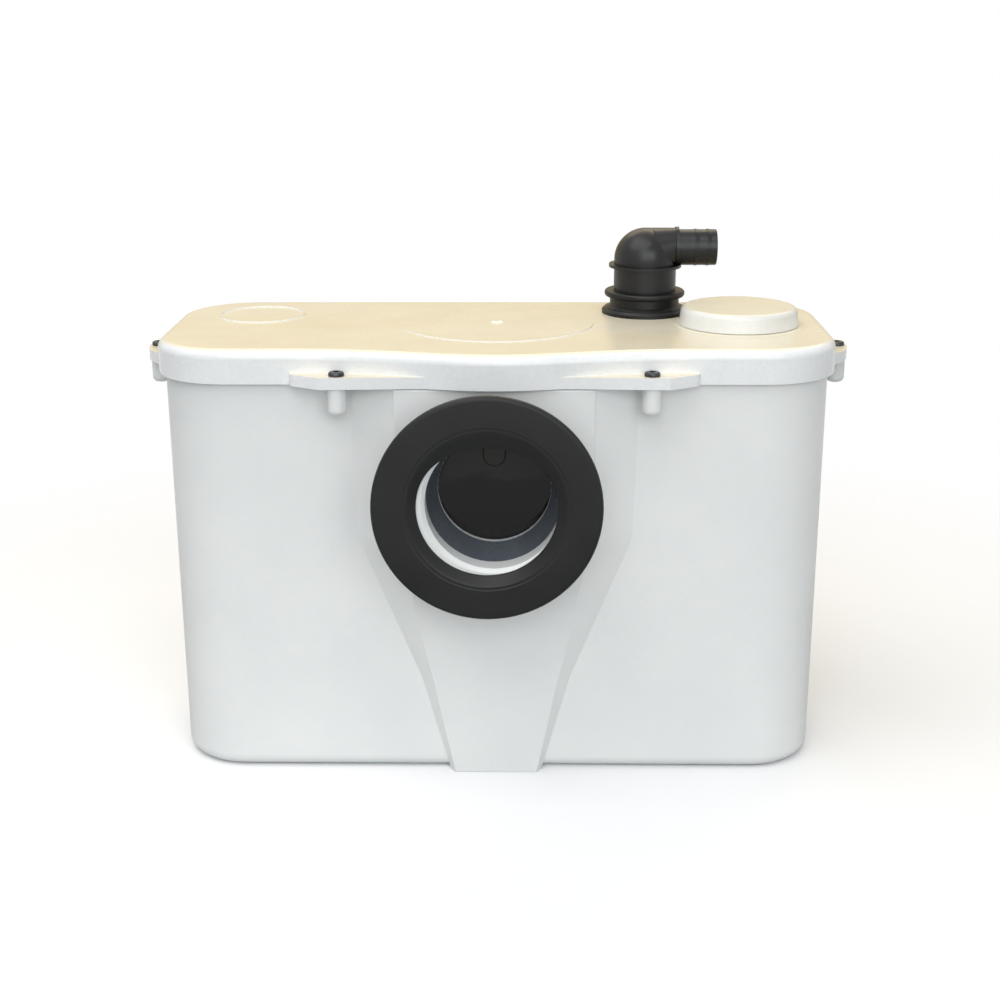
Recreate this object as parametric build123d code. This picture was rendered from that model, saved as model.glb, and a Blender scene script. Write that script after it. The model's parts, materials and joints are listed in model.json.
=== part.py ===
from build123d import *
import os
from math import cos, pi, radians, sin, sqrt

# Macerator toilet pump, in millimetres.
# +Z up, the pan inlet faces -Y, +X to the right seen from the inlet side.
# The origin is the middle of the tank's flat underside.

# Clearances and overruns shared by all pieces
cut_overrun = 5.0
running_gap = 0.05
moving_gap = 0.3
wall_merge = 1.0

# Lid
lid_length = 404.0
lid_corner_radius = 45.5
lid_bow = 16.8
lid_bow_half_width = 115.0
lid_head_room = 59.0
lid_skirt_height = 20.0
lid_plate = 3.6
lid_skirt_wall = 3.0
lid_edge_radius = 5.5
lid_disc_radius = 59.5
lid_disc_y = 3.5
lid_disc_rise = 0.5
gate_mark_radius = 4.5
gate_mark_rise = 1.0
knockout_end_inset = 52.0
knockout_back_inset = 48.5
knockout_radius = 26.8
knockout_line = 1.4
knockout_rise = 0.7
lid_rib_height = 9.0
lid_rib_wall = 2.2
lid_rib_count = 5
lid_rib_reach = 62.0

# Ears that carry the lid screws
ear_thickness = 6.8
ear_reach = 13.6
front_ear_end_x = 118.0
front_ear_root_x = 24.0
front_ear_end_radius = 6.0
front_ear_end_reach = 3.5
front_ear_blunt_x = 100.0
front_ear_tip_x = 46.0
front_ear_tip_inset = 2.4
side_ear_half_chord = 28.0
front_screw_x = 90.0
front_screw_inset = 6.6
side_screw_inset = 5.8

# Lid screws and the bosses that take them
screw_head_radius = 4.6
screw_head_height = 2.4
screw_head_round = 1.3
screw_recess_radius = 1.9
screw_recess_depth = 1.4
screw_shank_radius = 2.0
screw_length = 19.0
boss_radius = 5.6
boss_drop = 16.0
boss_round = 3.0
boss_web = 6.0

# Tank
tank_wall = 3.5
tank_draft = 0.8
tank_bottom_round = 8.0
rim_gap = 0.8
rim_wall = 3.0
seal_height = 3.5
seal_width = 5.0

# Front buttress of the tank, from the underside to the lid
buttress_depth = 12.5
buttress_lid_gap = 0.5
buttress_foot_depth = 5.0
buttress_full_depth_drop = 66.0
buttress_elbow_drop = 36.0
buttress_ankle_z = 62.0
buttress_root_widths = (28.0, 45.0, 81.0, 84.0)
buttress_front_widths = (20.0, 34.0, 57.0, 58.0)
buttress_bend_radius = 34.0

# Inlet spigot moulded on the tank
inlet_drop = 79.0
pad_half_width = 58.0
pad_thickness = 1.8
pad_edge_radius = 1.2
spigot_length = 32.0
spigot_radius = 46.0
spigot_bore_radius = 38.7
spigot_chamfer = 2.2
spigot_bore_length = 12.0
flap_seat_radius = 33.0
funnel_rebate = 1.2

# Rubber collar on the spigot
collar_shift_x = -3.5
collar_shift_z = -1.8
collar_radius = 65.3
collar_flange = 6.0
collar_flange_round = 2.6
collar_sleeve_wall = 5.0
collar_lip_radius = 40.0
collar_lip_length = 6.0
collar_bevel_radius = 45.5
collar_bevel_depth = 4.2
collar_root_gap = 2.0

# Inlet flap and its pin
flap_overlap = 3.0
flap_thickness = 3.0
flap_face_rise = 1.6
flap_face_inset = 1.4
flap_weight_radius = 17.0
flap_weight_thickness = 10.0
flap_knuckle_radius = 3.6
flap_knuckle_width = 20.0
flap_pin_radius = 1.75
flap_pin_above = 4.0
flap_lug_wall = 4.0
flap_tab_width = 13.0
flap_tab_height = 19.0
flap_tab_depth = 1.6
flap_tab_margin = 1.6

# Discharge elbow in its rubber cup
elbow_end_inset = 108.6
elbow_back_inset = 39.5
elbow_body_radius = 19.6
elbow_lower_radius = 17.8
elbow_lower_length = 19.0
elbow_sink = 12.0
elbow_rib_rise = 29.2
elbow_rib_radius = 22.9
elbow_rib_height = 1.8
elbow_axis_rise = 41.3
elbow_bore_radius = 14.0
ball_pole_tilt = 70.0
hose_spigot_radius = 11.2
hose_spigot_bore = 8.6
hose_spigot_end = 44.5
hose_bead_x = 18.6
hose_bead_width = 2.2
hose_bead_rise = 0.6
hose_barb_pitch = 7.6
hose_barb_rise = 0.4
hose_barb_length = 2.6
hose_barb_count = 2
hose_end_land = 6.2
hose_neck_radius = 12.2
neck_root_radius = 17.0
neck_root_x = 5.0

cup_body_radius = 21.9
cup_rim_rise = 12.6
cup_rim_radius = 25.4
cup_rim_height = 4.0
cup_rim_round = 1.7
cup_flange_radius = 27.0
cup_flange_height = 3.6
cup_flange_round = 1.6
cup_flare = 1.8
cup_lip_radius = 25.0
cup_lip_height = 3.0
cup_below_lid = 7.5

# Vent cap, its filter and the port on the lid
cap_end_inset = 53.2
cap_y = 0.0
cap_radius = 36.6
cap_draft = 1.4
cap_height = 10.8
cap_edge_radius = 3.6
cap_wall = 2.6
cap_foot_gap = 0.3
port_boss_rise = 0.3
port_boss_radius = 39.6
port_boss_slope = 0.8
port_neck_radius = 31.0
port_neck_wall = 3.0
port_drop = 20.0
port_floor = 2.4
port_vent_radius = 2.5
port_vent_ring_radius = 15.0
port_vent_count = 6
cap_seal_height = 1.6
filter_height = 22.0
filter_gap = 0.4

# Motor, lying along X to the left of the inlet
shaft_y = 6.0
motor_floor_room = 16.0
motor_side_room = 20.2
motor_end_room = 26.2
motor_radius = 52.0
motor_wall = 4.0
motor_coil_room = 44.0
motor_face = 7.0
motor_flange = 6.0
motor_gasket_height = 1.5
motor_fin_count = 10
motor_fin_height = 2.5
motor_fin_width = 2.0
motor_fin_first = -20.0
motor_fin_step = 24.0
saddle_width = 12.0
saddle_side_inset = 16.0
saddle_places = (20.0, 78.0)
pad_rubber = 3.0
end_cover_height = 10.0
stator_length = 54.0
stator_back_iron = 10.4
stator_slot_depth = 11.0
stator_slot_width = 6.0
stator_slot_count = 12
winding_overhang = 12.0
winding_inset = 2.5
slot_liner = 0.2
rotor_air_gap = 0.6
shaft_radius = 6.0
shaft_end_radius = 4.0
bearing_radius = 14.0
bearing_width = 9.0
bearing_hub_wall = 4.0
seal_radius = 12.0
cover_screw_count = 4
cover_screw_radius = 1.5
cover_screw_length = 12.0
cover_screw_head = 2.8
cover_screw_head_height = 2.0
cover_screw_spot = 3.0

# Pump: volute, impeller, cover, cutter and basket
volute_width = 26.0
volute_wall = 4.0
volute_overhang = 6.0
volute_tongue_gap = 3.5
volute_growth = 11.0
volute_points = 9
outlet_rise = 2.0
outlet_bore_radius = 9.5
outlet_wall = 3.2
cover_thickness = 4.0
eye_radius = 16.0
impeller_room = 25.0
impeller_plate = 3.0
impeller_hub_radius = 11.0
impeller_vane_height = 14.0
impeller_vane_wall = 2.4
impeller_vane_count = 6
impeller_vane_sweep = 55.0
impeller_face_gap = 3.0
cutter_offset = 5.0
cutter_rim_gap = 5.0
cutter_width = 16.0
cutter_tip_width = 9.0
cutter_thickness = 3.0
cutter_tip_rise = 8.0
nut_flats = 15.0
nut_height = 6.0
basket_inset = 14.0
basket_wall = 2.5
basket_standoff = 12.0
basket_post_radius = 3.0
basket_post_inset = 14.0
basket_post_count = 3
basket_hub_hole = 9.0
basket_length = 66.0
basket_back_top = 46.0
basket_front_knee = 30.0
basket_front_top = 70.0
basket_mouth = 72.0
basket_slot_length = 11.0
basket_slot_width = 5.0
basket_slot_rows = 9
basket_slot_step = 20.0
basket_slot_columns = 4
pump_screw_count = 4
pump_screw_radius = 2.5
pump_screw_head = 4.5
pump_screw_head_height = 3.5
pump_screw_inset = 4.5
pump_screw_bite = 4.0

# Non-return valve and the discharge pipe
valve_radius = 20.5
valve_chamber_radius = 17.0
valve_height = 42.0
valve_seat_height = 7.0
valve_disc_radius = 11.8
valve_disc_thickness = 2.0
valve_pin_radius = 1.2
valve_knuckle_radius = 2.2
valve_knuckle_width = 8.0
valve_hinge_offset = 13.6
valve_lug_wall = 3.4
valve_lug_round = 2.0
valve_roof = 4.0
pipe_radius = 12.6
pipe_bore_radius = 9.5
socket_wall = 2.6
socket_depth = 20.0
socket_floor = 3.0
pipe_rise = 36.0
pipe_bend_radius = 22.0

# Pressure switch, standing on the floor at the right
switch_end_inset = 64.0
switch_y = 14.0
bell_radius = 20.0
bell_wall = 2.5
bell_top_z = 128.0
bell_notch_height = 9.0
bell_notch_width = 12.0
switch_flange_radius = 31.0
switch_flange = 4.0
switch_chamber_height = 16.0
membrane_thickness = 1.5
membrane_radius = 28.0
cover_dome_radius = 21.0
cover_dome_height = 26.0
cover_dome_wall = 2.5
plunger_disc_radius = 14.0
plunger_disc = 2.0
plunger_radius = 3.5
plunger_above = 5.0
spring_radius = 7.0
spring_wire_radius = 0.8
spring_turns = 3
switch_travel = 1.5
microswitch_length = 28.0
microswitch_width = 10.0
microswitch_height = 16.0
button_side = 3.2
button_height = 5.0
button_seat = 3.0
post_wall = 3.0

# Control box under the lid, its contents, and the cable gland
box_end_inset = 74.0
box_front_inset = 53.5
box_length = 104.0
box_width = 62.0
box_height = 58.0
box_wall = 2.6
box_corner_radius = 6.0
capacitor_radius = 17.0
capacitor_length = 62.0
capacitor_stud_radius = 3.0
capacitor_stud_length = 6.0
terminal_length = 40.0
terminal_width = 12.0
terminal_height = 14.0
terminal_ways = 4
terminal_screw_radius = 2.2
gland_end_inset = 62.0
gland_drop = 43.0
gland_radius = 8.0
gland_flange_radius = 12.0
gland_flange = 4.0
gland_nose = 14.0
gland_nose_radius = 6.8
gland_bore_radius = 3.7
gland_nut = 5.0

# Places and sizes that follow from the values above
rim_inset = lid_skirt_wall + rim_gap
lid_depth = 2 * (motor_radius + motor_side_room + tank_wall + rim_inset)
volute_radius = motor_radius + volute_overhang
shaft_z = motor_radius + motor_floor_room
outlet_offset_z = volute_radius + outlet_rise
outlet_top_z = shaft_z + outlet_offset_z
pipe_run_z = outlet_top_z + valve_height + pipe_rise
lid_top_z = pipe_run_z + lid_head_room
inlet_z = lid_top_z - inlet_drop
gland_z = lid_top_z - gland_drop
buttress_full_depth_z = inlet_z - buttress_full_depth_drop
buttress_elbow_z = inlet_z - buttress_elbow_drop
elbow_foot_z = lid_top_z - elbow_sink
elbow_rib_z = lid_top_z + elbow_rib_rise
elbow_axis_z = lid_top_z + elbow_axis_rise
cup_rim_z = lid_top_z + cup_rim_rise
elbow_x = lid_length / 2 - elbow_end_inset
elbow_y = lid_depth / 2 - elbow_back_inset
cap_x = lid_length / 2 - cap_end_inset
switch_x = lid_length / 2 - switch_end_inset
knockout_x = knockout_end_inset - lid_length / 2
knockout_y = lid_depth / 2 - knockout_back_inset
box_x = box_end_inset - lid_length / 2
box_y = box_front_inset - lid_depth / 2
gland_x = gland_end_inset - lid_length / 2
lid_skirt_z = lid_top_z - lid_skirt_height
lid_under_z = lid_top_z - lid_plate
lid_front_y = -lid_depth / 2
rim_top_z = lid_under_z - seal_height
tank_length = lid_length - 2 * rim_inset
tank_depth = lid_depth - 2 * rim_inset
tank_corner_radius = lid_corner_radius - rim_inset
tank_front_y = -tank_depth / 2
tank_back_y = tank_depth / 2
buttress_top_z = lid_skirt_z - buttress_lid_gap
pad_face_y = tank_front_y - buttress_depth
seat_y = pad_face_y + tank_wall
spigot_end_y = pad_face_y - pad_thickness - spigot_length
front_screw_y = lid_front_y - ear_reach + front_screw_inset
side_screw_x = lid_length / 2 + ear_reach - side_screw_inset
ear_top_z = lid_skirt_z + ear_thickness
cap_foot_z = lid_top_z + port_boss_rise + cap_foot_gap
cap_under_z = cap_foot_z + cap_height - cap_wall
neck_top_z = cap_under_z - cap_seal_height - moving_gap
port_inner_radius = port_neck_radius - port_neck_wall
ball_z = elbow_axis_z + hose_neck_radius - elbow_body_radius
socket_top_z = elbow_foot_z - moving_gap
motor_length = stator_length + motor_coil_room
motor_front_x = motor_end_room + motor_length - tank_length / 2
saddle_half_width = motor_radius - saddle_side_inset
stator_bore_radius = motor_radius - motor_wall - stator_back_iron - stator_slot_depth
impeller_radius = volute_radius - impeller_room
volute_start_radius = impeller_radius + volute_tongue_gap
basket_radius = volute_radius - basket_inset
basket_post_ring = basket_radius - basket_post_inset
cutter_reach = basket_radius - cutter_rim_gap
volute_back_x = motor_front_x + motor_gasket_height
volute_front_x = volute_back_x + volute_width
volute_x = (volute_back_x + volute_front_x) / 2
cover_front_x = volute_front_x + cover_thickness
basket_x = cover_front_x + basket_standoff
cutter_x = basket_x + basket_wall + cutter_offset
motor_back_x = motor_front_x - motor_length
stator_x = motor_front_x - motor_length / 2 - stator_length / 2
pump_screw_ring = volute_radius - pump_screw_inset
valve_hinge_z = outlet_top_z + valve_seat_height + moving_gap + valve_knuckle_radius
membrane_z = bell_top_z
cover_z = membrane_z + membrane_thickness
partition_z = cover_z + switch_chamber_height
plunger_top_z = partition_z + plunger_above
button_z = plunger_top_z + moving_gap
microswitch_z = button_z + button_height - button_seat
box_floor_z = lid_under_z - box_height
flap_radius = flap_seat_radius + flap_overlap
flap_front_y = seat_y + moving_gap
flap_pin_y = seat_y + moving_gap + flap_knuckle_radius
flap_pin_z = inlet_z + flap_radius + flap_pin_above
screw_places = [
    (-front_screw_x, front_screw_y),
    (front_screw_x, front_screw_y),
    (-side_screw_x, 0),
    (side_screw_x, 0),
    (-front_screw_x, -front_screw_y),
    (front_screw_x, -front_screw_y),
]


def ring(outer_radius, inner_radius, height):
    """A plain tube along +Z, standing on the XY plane."""
    body = Cylinder(outer_radius, height, align=(Align.CENTER, Align.CENTER, Align.MIN))
    bore = Cylinder(inner_radius, height + 2 * cut_overrun)
    return body - Pos(0, 0, height / 2) * bore


def turned_z(points):
    """Solid turned about Z from (radius, height) points."""
    return revolve(Plane.XZ * make_face(Polyline(*points, close=True)), Axis.Z)


def turned_y(points):
    """Solid turned about Y from (radius, y) points."""
    return revolve(make_face(Polyline(*points, close=True)), Axis.Y)


def turned_x(points):
    """Solid turned about X from (x, radius) points."""
    return revolve(make_face(Polyline(*points, close=True)), Axis.X)


def lid_plan(inset):
    """The lid's outline, drawn in by an inset: a rounded rectangle with a bowed front."""
    half_length = lid_length / 2 - inset
    half_depth = lid_depth / 2 - inset
    radius = lid_corner_radius - inset
    flat_end = half_length - radius
    side_end = half_depth - radius
    bow_front = half_depth + lid_bow
    left_bow = (-lid_bow_half_width, -half_depth)
    right_bow = (lid_bow_half_width, -half_depth)
    bow = Spline(left_bow, (0, -bow_front), right_bow, tangents=[(1, 0), (1, 0)])
    slant = radius * sqrt(2) / 2
    corners = Curve() + [
        ThreePointArc(
            (sx * half_length, sy * side_end),
            (sx * (flat_end + slant), sy * (side_end + slant)),
            (sx * flat_end, sy * half_depth),
        )
        for sx in (-1, 1)
        for sy in (-1, 1)
    ]
    sides = Curve() + [
        Line((sx * half_length, -side_end), (sx * half_length, side_end)) for sx in (-1, 1)
    ]
    back = Line((-flat_end, half_depth), (flat_end, half_depth))
    left_front = Line((-flat_end, -half_depth), left_bow)
    right_front = Line(right_bow, (flat_end, -half_depth))
    return make_face(corners + sides + back + left_front + right_front + bow)


def front_ear():
    """One ear at the right of the front: blunt at its outer end, fading into the bow inwards."""
    front_y = lid_front_y - ear_reach
    back_y = lid_front_y + lid_skirt_wall
    plan = make_face(Polyline(
        (front_ear_root_x, back_y),
        (front_ear_end_x, back_y),
        (front_ear_end_x, lid_front_y - front_ear_end_reach),
        (front_ear_blunt_x, front_y),
        (front_screw_x, front_y),
        (front_ear_tip_x, front_y + front_ear_tip_inset),
        (front_ear_root_x, front_y + front_ear_tip_inset),
        close=True,
    ))
    blunt = plan.vertices().filter_by(lambda v: v.X == front_ear_end_x).sort_by(Axis.Y)[0]
    plan = fillet(blunt, front_ear_end_radius)
    return extrude(Pos(0, 0, lid_skirt_z) * plan, ear_thickness)


def side_ear():
    """One ear at the right end: a circular lobe."""
    radius = (side_ear_half_chord**2 + ear_reach**2) / (2 * ear_reach)
    centre = lid_length / 2 + ear_reach - radius
    lobe = Pos(centre, 0) * Circle(radius)
    keep = Pos(lid_length / 2 + ear_reach / 2, 0) * Rectangle(
        ear_reach + 2 * lid_skirt_wall, 2 * side_ear_half_chord + 2 * lid_skirt_wall
    )
    return extrude(Pos(0, 0, lid_skirt_z) * (lobe & keep), ear_thickness)


def lid_ears():
    """All six ears, without the lid's own space."""
    right_front = front_ear()
    right_end = side_ear()
    ears = right_front + mirror(right_front, Plane.YZ)
    right_back = Pos(front_screw_x, (lid_depth - lid_length) / 2, 0) * Rot(0, 0, 90) * right_end
    ears = ears + right_back + mirror(right_back, Plane.YZ)
    return ears + right_end + mirror(right_end, Plane.YZ)


def vent_port():
    """The raised boss, neck and vented floor that the cap and filter sit on."""
    boss_top = lid_top_z + port_boss_rise
    neck_top = neck_top_z
    floor_z = lid_top_z - port_drop
    inner = port_neck_radius - port_neck_wall
    port = turned_z([
        (0, floor_z),
        (port_neck_radius, floor_z),
        (port_neck_radius, lid_under_z),
        (port_boss_radius, lid_under_z),
        (port_boss_radius, lid_top_z),
        (port_boss_radius - port_boss_slope, boss_top),
        (port_neck_radius, boss_top),
        (port_neck_radius, neck_top),
        (inner, neck_top),
        (inner, floor_z + port_floor),
        (0, floor_z + port_floor),
    ])
    for place in PolarLocations(port_vent_ring_radius, port_vent_count):
        port = port - Pos(0, 0, floor_z) * place * Cylinder(port_vent_radius, 2 * cut_overrun)
    return Pos(cap_x, cap_y, 0) * port


def lid_ribs():
    """Cross ribs under the plate, between the control box and the discharge cup."""
    rib = Box(
        lid_rib_wall, 2 * lid_rib_reach, lid_rib_height, align=(Align.CENTER, Align.CENTER, Align.MAX)
    )
    first = box_x + box_length / 2 + cut_overrun
    last = elbow_x - cup_body_radius - cut_overrun
    step = (last - first) / (lid_rib_count - 1)
    ribs = Part()
    for number in range(lid_rib_count):
        ribs = ribs + Pos(first + number * step, 0, lid_under_z) * rib
    return ribs


def make_lid():
    shell = extrude(Pos(0, 0, lid_skirt_z) * lid_plan(0), lid_skirt_height)
    top_edges = shell.faces().sort_by(Axis.Z)[-1].edges()
    shell = fillet(top_edges, lid_edge_radius)
    shell = shell + lid_ears()
    inside = extrude(
        Pos(0, 0, lid_skirt_z - cut_overrun) * lid_plan(lid_skirt_wall),
        lid_under_z - lid_skirt_z + cut_overrun,
    )
    shell = shell - inside
    disc = Pos(0, lid_disc_y, lid_top_z - lid_plate / 2) * Cylinder(
        lid_disc_radius, lid_plate / 2 + lid_disc_rise, align=(Align.CENTER, Align.CENTER, Align.MIN)
    )
    gate = Pos(0, lid_disc_y, lid_top_z + lid_disc_rise) * Cone(
        gate_mark_radius, gate_mark_radius / 2, gate_mark_rise,
        align=(Align.CENTER, Align.CENTER, Align.MIN),
    )
    line = Pos(knockout_x, knockout_y, lid_top_z - lid_plate / 2) * ring(
        knockout_radius + knockout_line / 2,
        knockout_radius - knockout_line / 2,
        lid_plate / 2 + knockout_rise,
    )
    shell = shell + disc + gate + line + lid_ribs()
    port_hole = Pos(cap_x, cap_y, lid_top_z) * Cylinder(port_neck_radius, 2 * lid_skirt_height)
    shell = shell - port_hole + vent_port()
    cup_hole = Pos(elbow_x, elbow_y, lid_top_z) * Cylinder(cup_body_radius + running_gap, 2 * lid_skirt_height)
    shell = shell - cup_hole
    for x, y in screw_places:
        hole = Cylinder(screw_shank_radius + running_gap, 2 * lid_skirt_height)
        shell = shell - Pos(x, y, lid_skirt_z) * hole
    return shell


def buttress_outline(widths, inset, z_from, z_to):
    """The buttress seen from the front: a stem that widens to the shoulders under the lid."""
    heights = (z_from, buttress_ankle_z, buttress_elbow_z, z_to)
    right = [(width - inset, height) for width, height in zip(widths, heights)]
    left = [(-x, height) for x, height in reversed(right)]
    face = make_face(Polyline(*right, *left, close=True))
    bends = [v for v in face.vertices() if z_from < v.Y < z_to]
    return fillet(bends, buttress_bend_radius)


def buttress(inset, z_from, z_to):
    """The tank's front buttress with slanting flanks and a front that leans back below."""
    root_y = tank_front_y + inset
    front_y = tank_front_y - buttress_depth + inset
    root = buttress_outline(buttress_root_widths, inset, z_from, z_to)
    front = buttress_outline(buttress_front_widths, inset, z_from, z_to)
    root_plane = Plane(origin=(0, root_y, 0), x_dir=(1, 0, 0), z_dir=(0, -1, 0))
    front_plane = Plane(origin=(0, front_y, 0), x_dir=(1, 0, 0), z_dir=(0, -1, 0))
    body = loft([root_plane * root, front_plane * front], ruled=True)
    body = body + extrude(root_plane * root, -tank_bottom_round)
    lean = buttress_depth - buttress_foot_depth
    side = make_face(Polyline(
        (front_y - cut_overrun, z_from - cut_overrun),
        (front_y + lean, z_from - cut_overrun),
        (front_y + lean, z_from),
        (front_y, buttress_full_depth_z),
        (front_y - cut_overrun, buttress_full_depth_z),
        close=True,
    ))
    wedge = extrude(Plane.YZ * side, max(buttress_root_widths), both=True)
    return body - wedge


def tank_block(inset, z_from, z_to, foot_share):
    """A rounded block with the tank's draft, drawn in by an inset."""
    foot_draft = tank_draft * foot_share
    foot = RectangleRounded(
        tank_length - 2 * inset - 2 * foot_draft,
        tank_depth - 2 * inset - 2 * foot_draft,
        tank_corner_radius - inset - foot_draft,
    )
    head = RectangleRounded(
        tank_length - 2 * inset, tank_depth - 2 * inset, tank_corner_radius - inset
    )
    return loft([Pos(0, 0, z_from) * foot, Pos(0, 0, z_to) * head])


def inlet_pad():
    """The raised plate that carries the spigot: straight sides, round below."""
    height = buttress_top_z - inlet_z
    upper = Pos(0, inlet_z + height / 2) * Rectangle(2 * pad_half_width, height)
    lower = Pos(0, inlet_z) * Circle(pad_half_width)
    plate = Plane.XZ * (upper + lower)
    plate = extrude(Pos(0, pad_face_y + wall_merge, 0) * plate, pad_thickness + wall_merge)
    return fillet(plate.faces().sort_by(Axis.Y)[0].edges(), pad_edge_radius)


def inlet_spigot():
    """The tube that the collar grips, without its bore."""
    tube = turned_y([
        (0, pad_face_y),
        (spigot_radius, pad_face_y),
        (spigot_radius, spigot_end_y),
        (0, spigot_end_y),
    ])
    return Pos(0, 0, inlet_z) * tube


def inlet_bore():
    """The spigot's bore: chamfered mouth, straight part, then a funnel to the flap's seat."""
    funnel_y = spigot_end_y + spigot_chamfer + spigot_bore_length
    pocket = spigot_bore_radius + funnel_rebate
    bore = turned_y([
        (0, spigot_end_y - cut_overrun),
        (spigot_bore_radius + spigot_chamfer, spigot_end_y - cut_overrun),
        (spigot_bore_radius + spigot_chamfer, spigot_end_y),
        (spigot_bore_radius, spigot_end_y + spigot_chamfer),
        (spigot_bore_radius, funnel_y),
        (pocket, funnel_y),
        (pocket, pad_face_y),
        (flap_seat_radius, pad_face_y),
        (flap_seat_radius, seat_y + cut_overrun),
        (0, seat_y + cut_overrun),
    ])
    return Pos(0, 0, inlet_z) * bore


def make_seat_funnel():
    """The grey ring pressed into the spigot, which narrows the way to the flap's seat."""
    funnel_y = spigot_end_y + spigot_chamfer + spigot_bore_length
    radius = spigot_bore_radius + funnel_rebate - running_gap
    funnel = turned_y([
        (spigot_bore_radius, funnel_y + running_gap),
        (radius, funnel_y + running_gap),
        (radius, pad_face_y - running_gap),
        (flap_seat_radius, pad_face_y - running_gap),
    ])
    return Pos(0, 0, inlet_z) * funnel


def flap_seat():
    """The flat that is faced inside the wall for the flap to close on."""
    radius = flap_radius + wall_merge
    flat = turned_y([
        (0, seat_y),
        (radius, seat_y),
        (radius, seat_y + cut_overrun),
        (0, seat_y + cut_overrun),
    ])
    return Pos(0, 0, inlet_z) * flat


def screw_boss(x, y):
    """A boss under an ear, with a web to the wall and a domed foot."""
    boss = Cylinder(boss_radius, boss_drop, align=(Align.CENTER, Align.CENTER, Align.MAX))
    boss = fillet(boss.edges().sort_by(Axis.Z)[0], boss_round)
    if x * x > y * y and y == 0:
        sign = 1 if x > 0 else -1
        reach = abs(x) - tank_length / 2 + tank_wall / 2
        web = Pos(-sign * reach / 2, 0, 0) * Box(
            reach, boss_web, boss_drop - boss_round, align=(Align.CENTER, Align.CENTER, Align.MAX)
        )
    else:
        sign = 1 if y > 0 else -1
        reach = abs(y) - tank_depth / 2 + tank_wall / 2
        web = Pos(0, -sign * reach / 2, 0) * Box(
            boss_web, reach, boss_drop - boss_round, align=(Align.CENTER, Align.CENTER, Align.MAX)
        )
    return Pos(x, y, lid_skirt_z) * (boss + web)


def flap_lugs():
    """Two lugs inside the front wall that hold the flap's pin."""
    reach = flap_pin_y + flap_knuckle_radius - seat_y
    lug = Box(
        flap_lug_wall, reach, 2 * flap_knuckle_radius, align=(Align.CENTER, Align.MIN, Align.CENTER)
    )
    lug = fillet(lug.edges().filter_by(Axis.X).sort_by(Axis.Y)[-2:], flap_knuckle_radius / 2)
    offset_x = flap_knuckle_width / 2 + moving_gap + flap_lug_wall / 2
    place = Pos(0, seat_y, flap_pin_z)
    lugs = place * Pos(offset_x, 0, 0) * lug + place * Pos(-offset_x, 0, 0) * lug
    pin = Cylinder(flap_pin_radius, 2 * offset_x + 2 * cut_overrun, rotation=(0, 90, 0))
    return lugs - Pos(0, flap_pin_y, flap_pin_z) * pin


def motor_saddle(offset):
    """A rib on the floor with a hollow top for a rubber motor pad."""
    x = motor_front_x - offset
    block = Pos(x, shaft_y, tank_wall / 2) * Box(
        saddle_width, 2 * saddle_half_width, shaft_z - motor_radius,
        align=(Align.CENTER, Align.CENTER, Align.MIN),
    )
    radius = motor_radius + pad_rubber
    return block - lying_x(radius, x - saddle_width, x + saddle_width)


def across(x):
    """The plane square to the shaft at x, with Y to the right and Z up."""
    return Plane(origin=(x, shaft_y, shaft_z), x_dir=(0, 1, 0), z_dir=(1, 0, 0))


def lying_x(radius, x_from, x_to):
    """A cylinder about the shaft axis."""
    return extrude(across(x_from) * Circle(radius), x_to - x_from)


def upright(x, y, z_from, z_to, radius):
    """A cylinder along Z."""
    body = Cylinder(radius, z_to - z_from, align=(Align.CENTER, Align.CENTER, Align.MIN))
    return Pos(x, y, z_from) * body


def make_tank():
    outside = tank_block(0, 0, lid_skirt_z, 1)
    outside = fillet(outside.faces().sort_by(Axis.Z)[0].edges(), tank_bottom_round)
    outside = outside + buttress(0, 0, buttress_top_z)
    rim = RectangleRounded(tank_length, tank_depth, tank_corner_radius)
    outside = outside + extrude(Pos(0, 0, lid_skirt_z) * rim, rim_top_z - lid_skirt_z)
    outside = outside + inlet_pad() + inlet_spigot()
    for x, y in screw_places:
        outside = outside + screw_boss(x, y)
    inside = tank_block(tank_wall, tank_wall, lid_skirt_z, 1)
    inside = fillet(
        inside.faces().sort_by(Axis.Z)[0].edges(), tank_bottom_round - tank_wall
    )
    inside = inside + buttress(tank_wall, tank_wall, buttress_top_z - tank_wall)
    mouth = RectangleRounded(
        tank_length - 2 * rim_wall, tank_depth - 2 * rim_wall, tank_corner_radius - rim_wall
    )
    mouth = extrude(Pos(0, 0, lid_skirt_z - wall_merge) * mouth, 2 * lid_skirt_height)
    tank = outside - inside - mouth - inlet_bore() - flap_seat()
    tank = tank + flap_lugs()
    for offset in saddle_places:
        tank = tank + motor_saddle(offset)
    for x, y in screw_places:
        hole = Cylinder(screw_shank_radius, 2 * screw_length)
        tank = tank - Pos(x, y, ear_top_z) * hole
    gland_hole = Cylinder(gland_radius + running_gap, 2 * gland_nose, rotation=(90, 0, 0))
    return tank - Pos(gland_x, tank_back_y, gland_z) * gland_hole


def make_lid_seal():
    outer = RectangleRounded(tank_length, tank_depth, tank_corner_radius)
    inner = RectangleRounded(
        tank_length - 2 * seal_width, tank_depth - 2 * seal_width, tank_corner_radius - seal_width
    )
    return extrude(Pos(0, 0, rim_top_z) * (outer - inner), seal_height)


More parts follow.
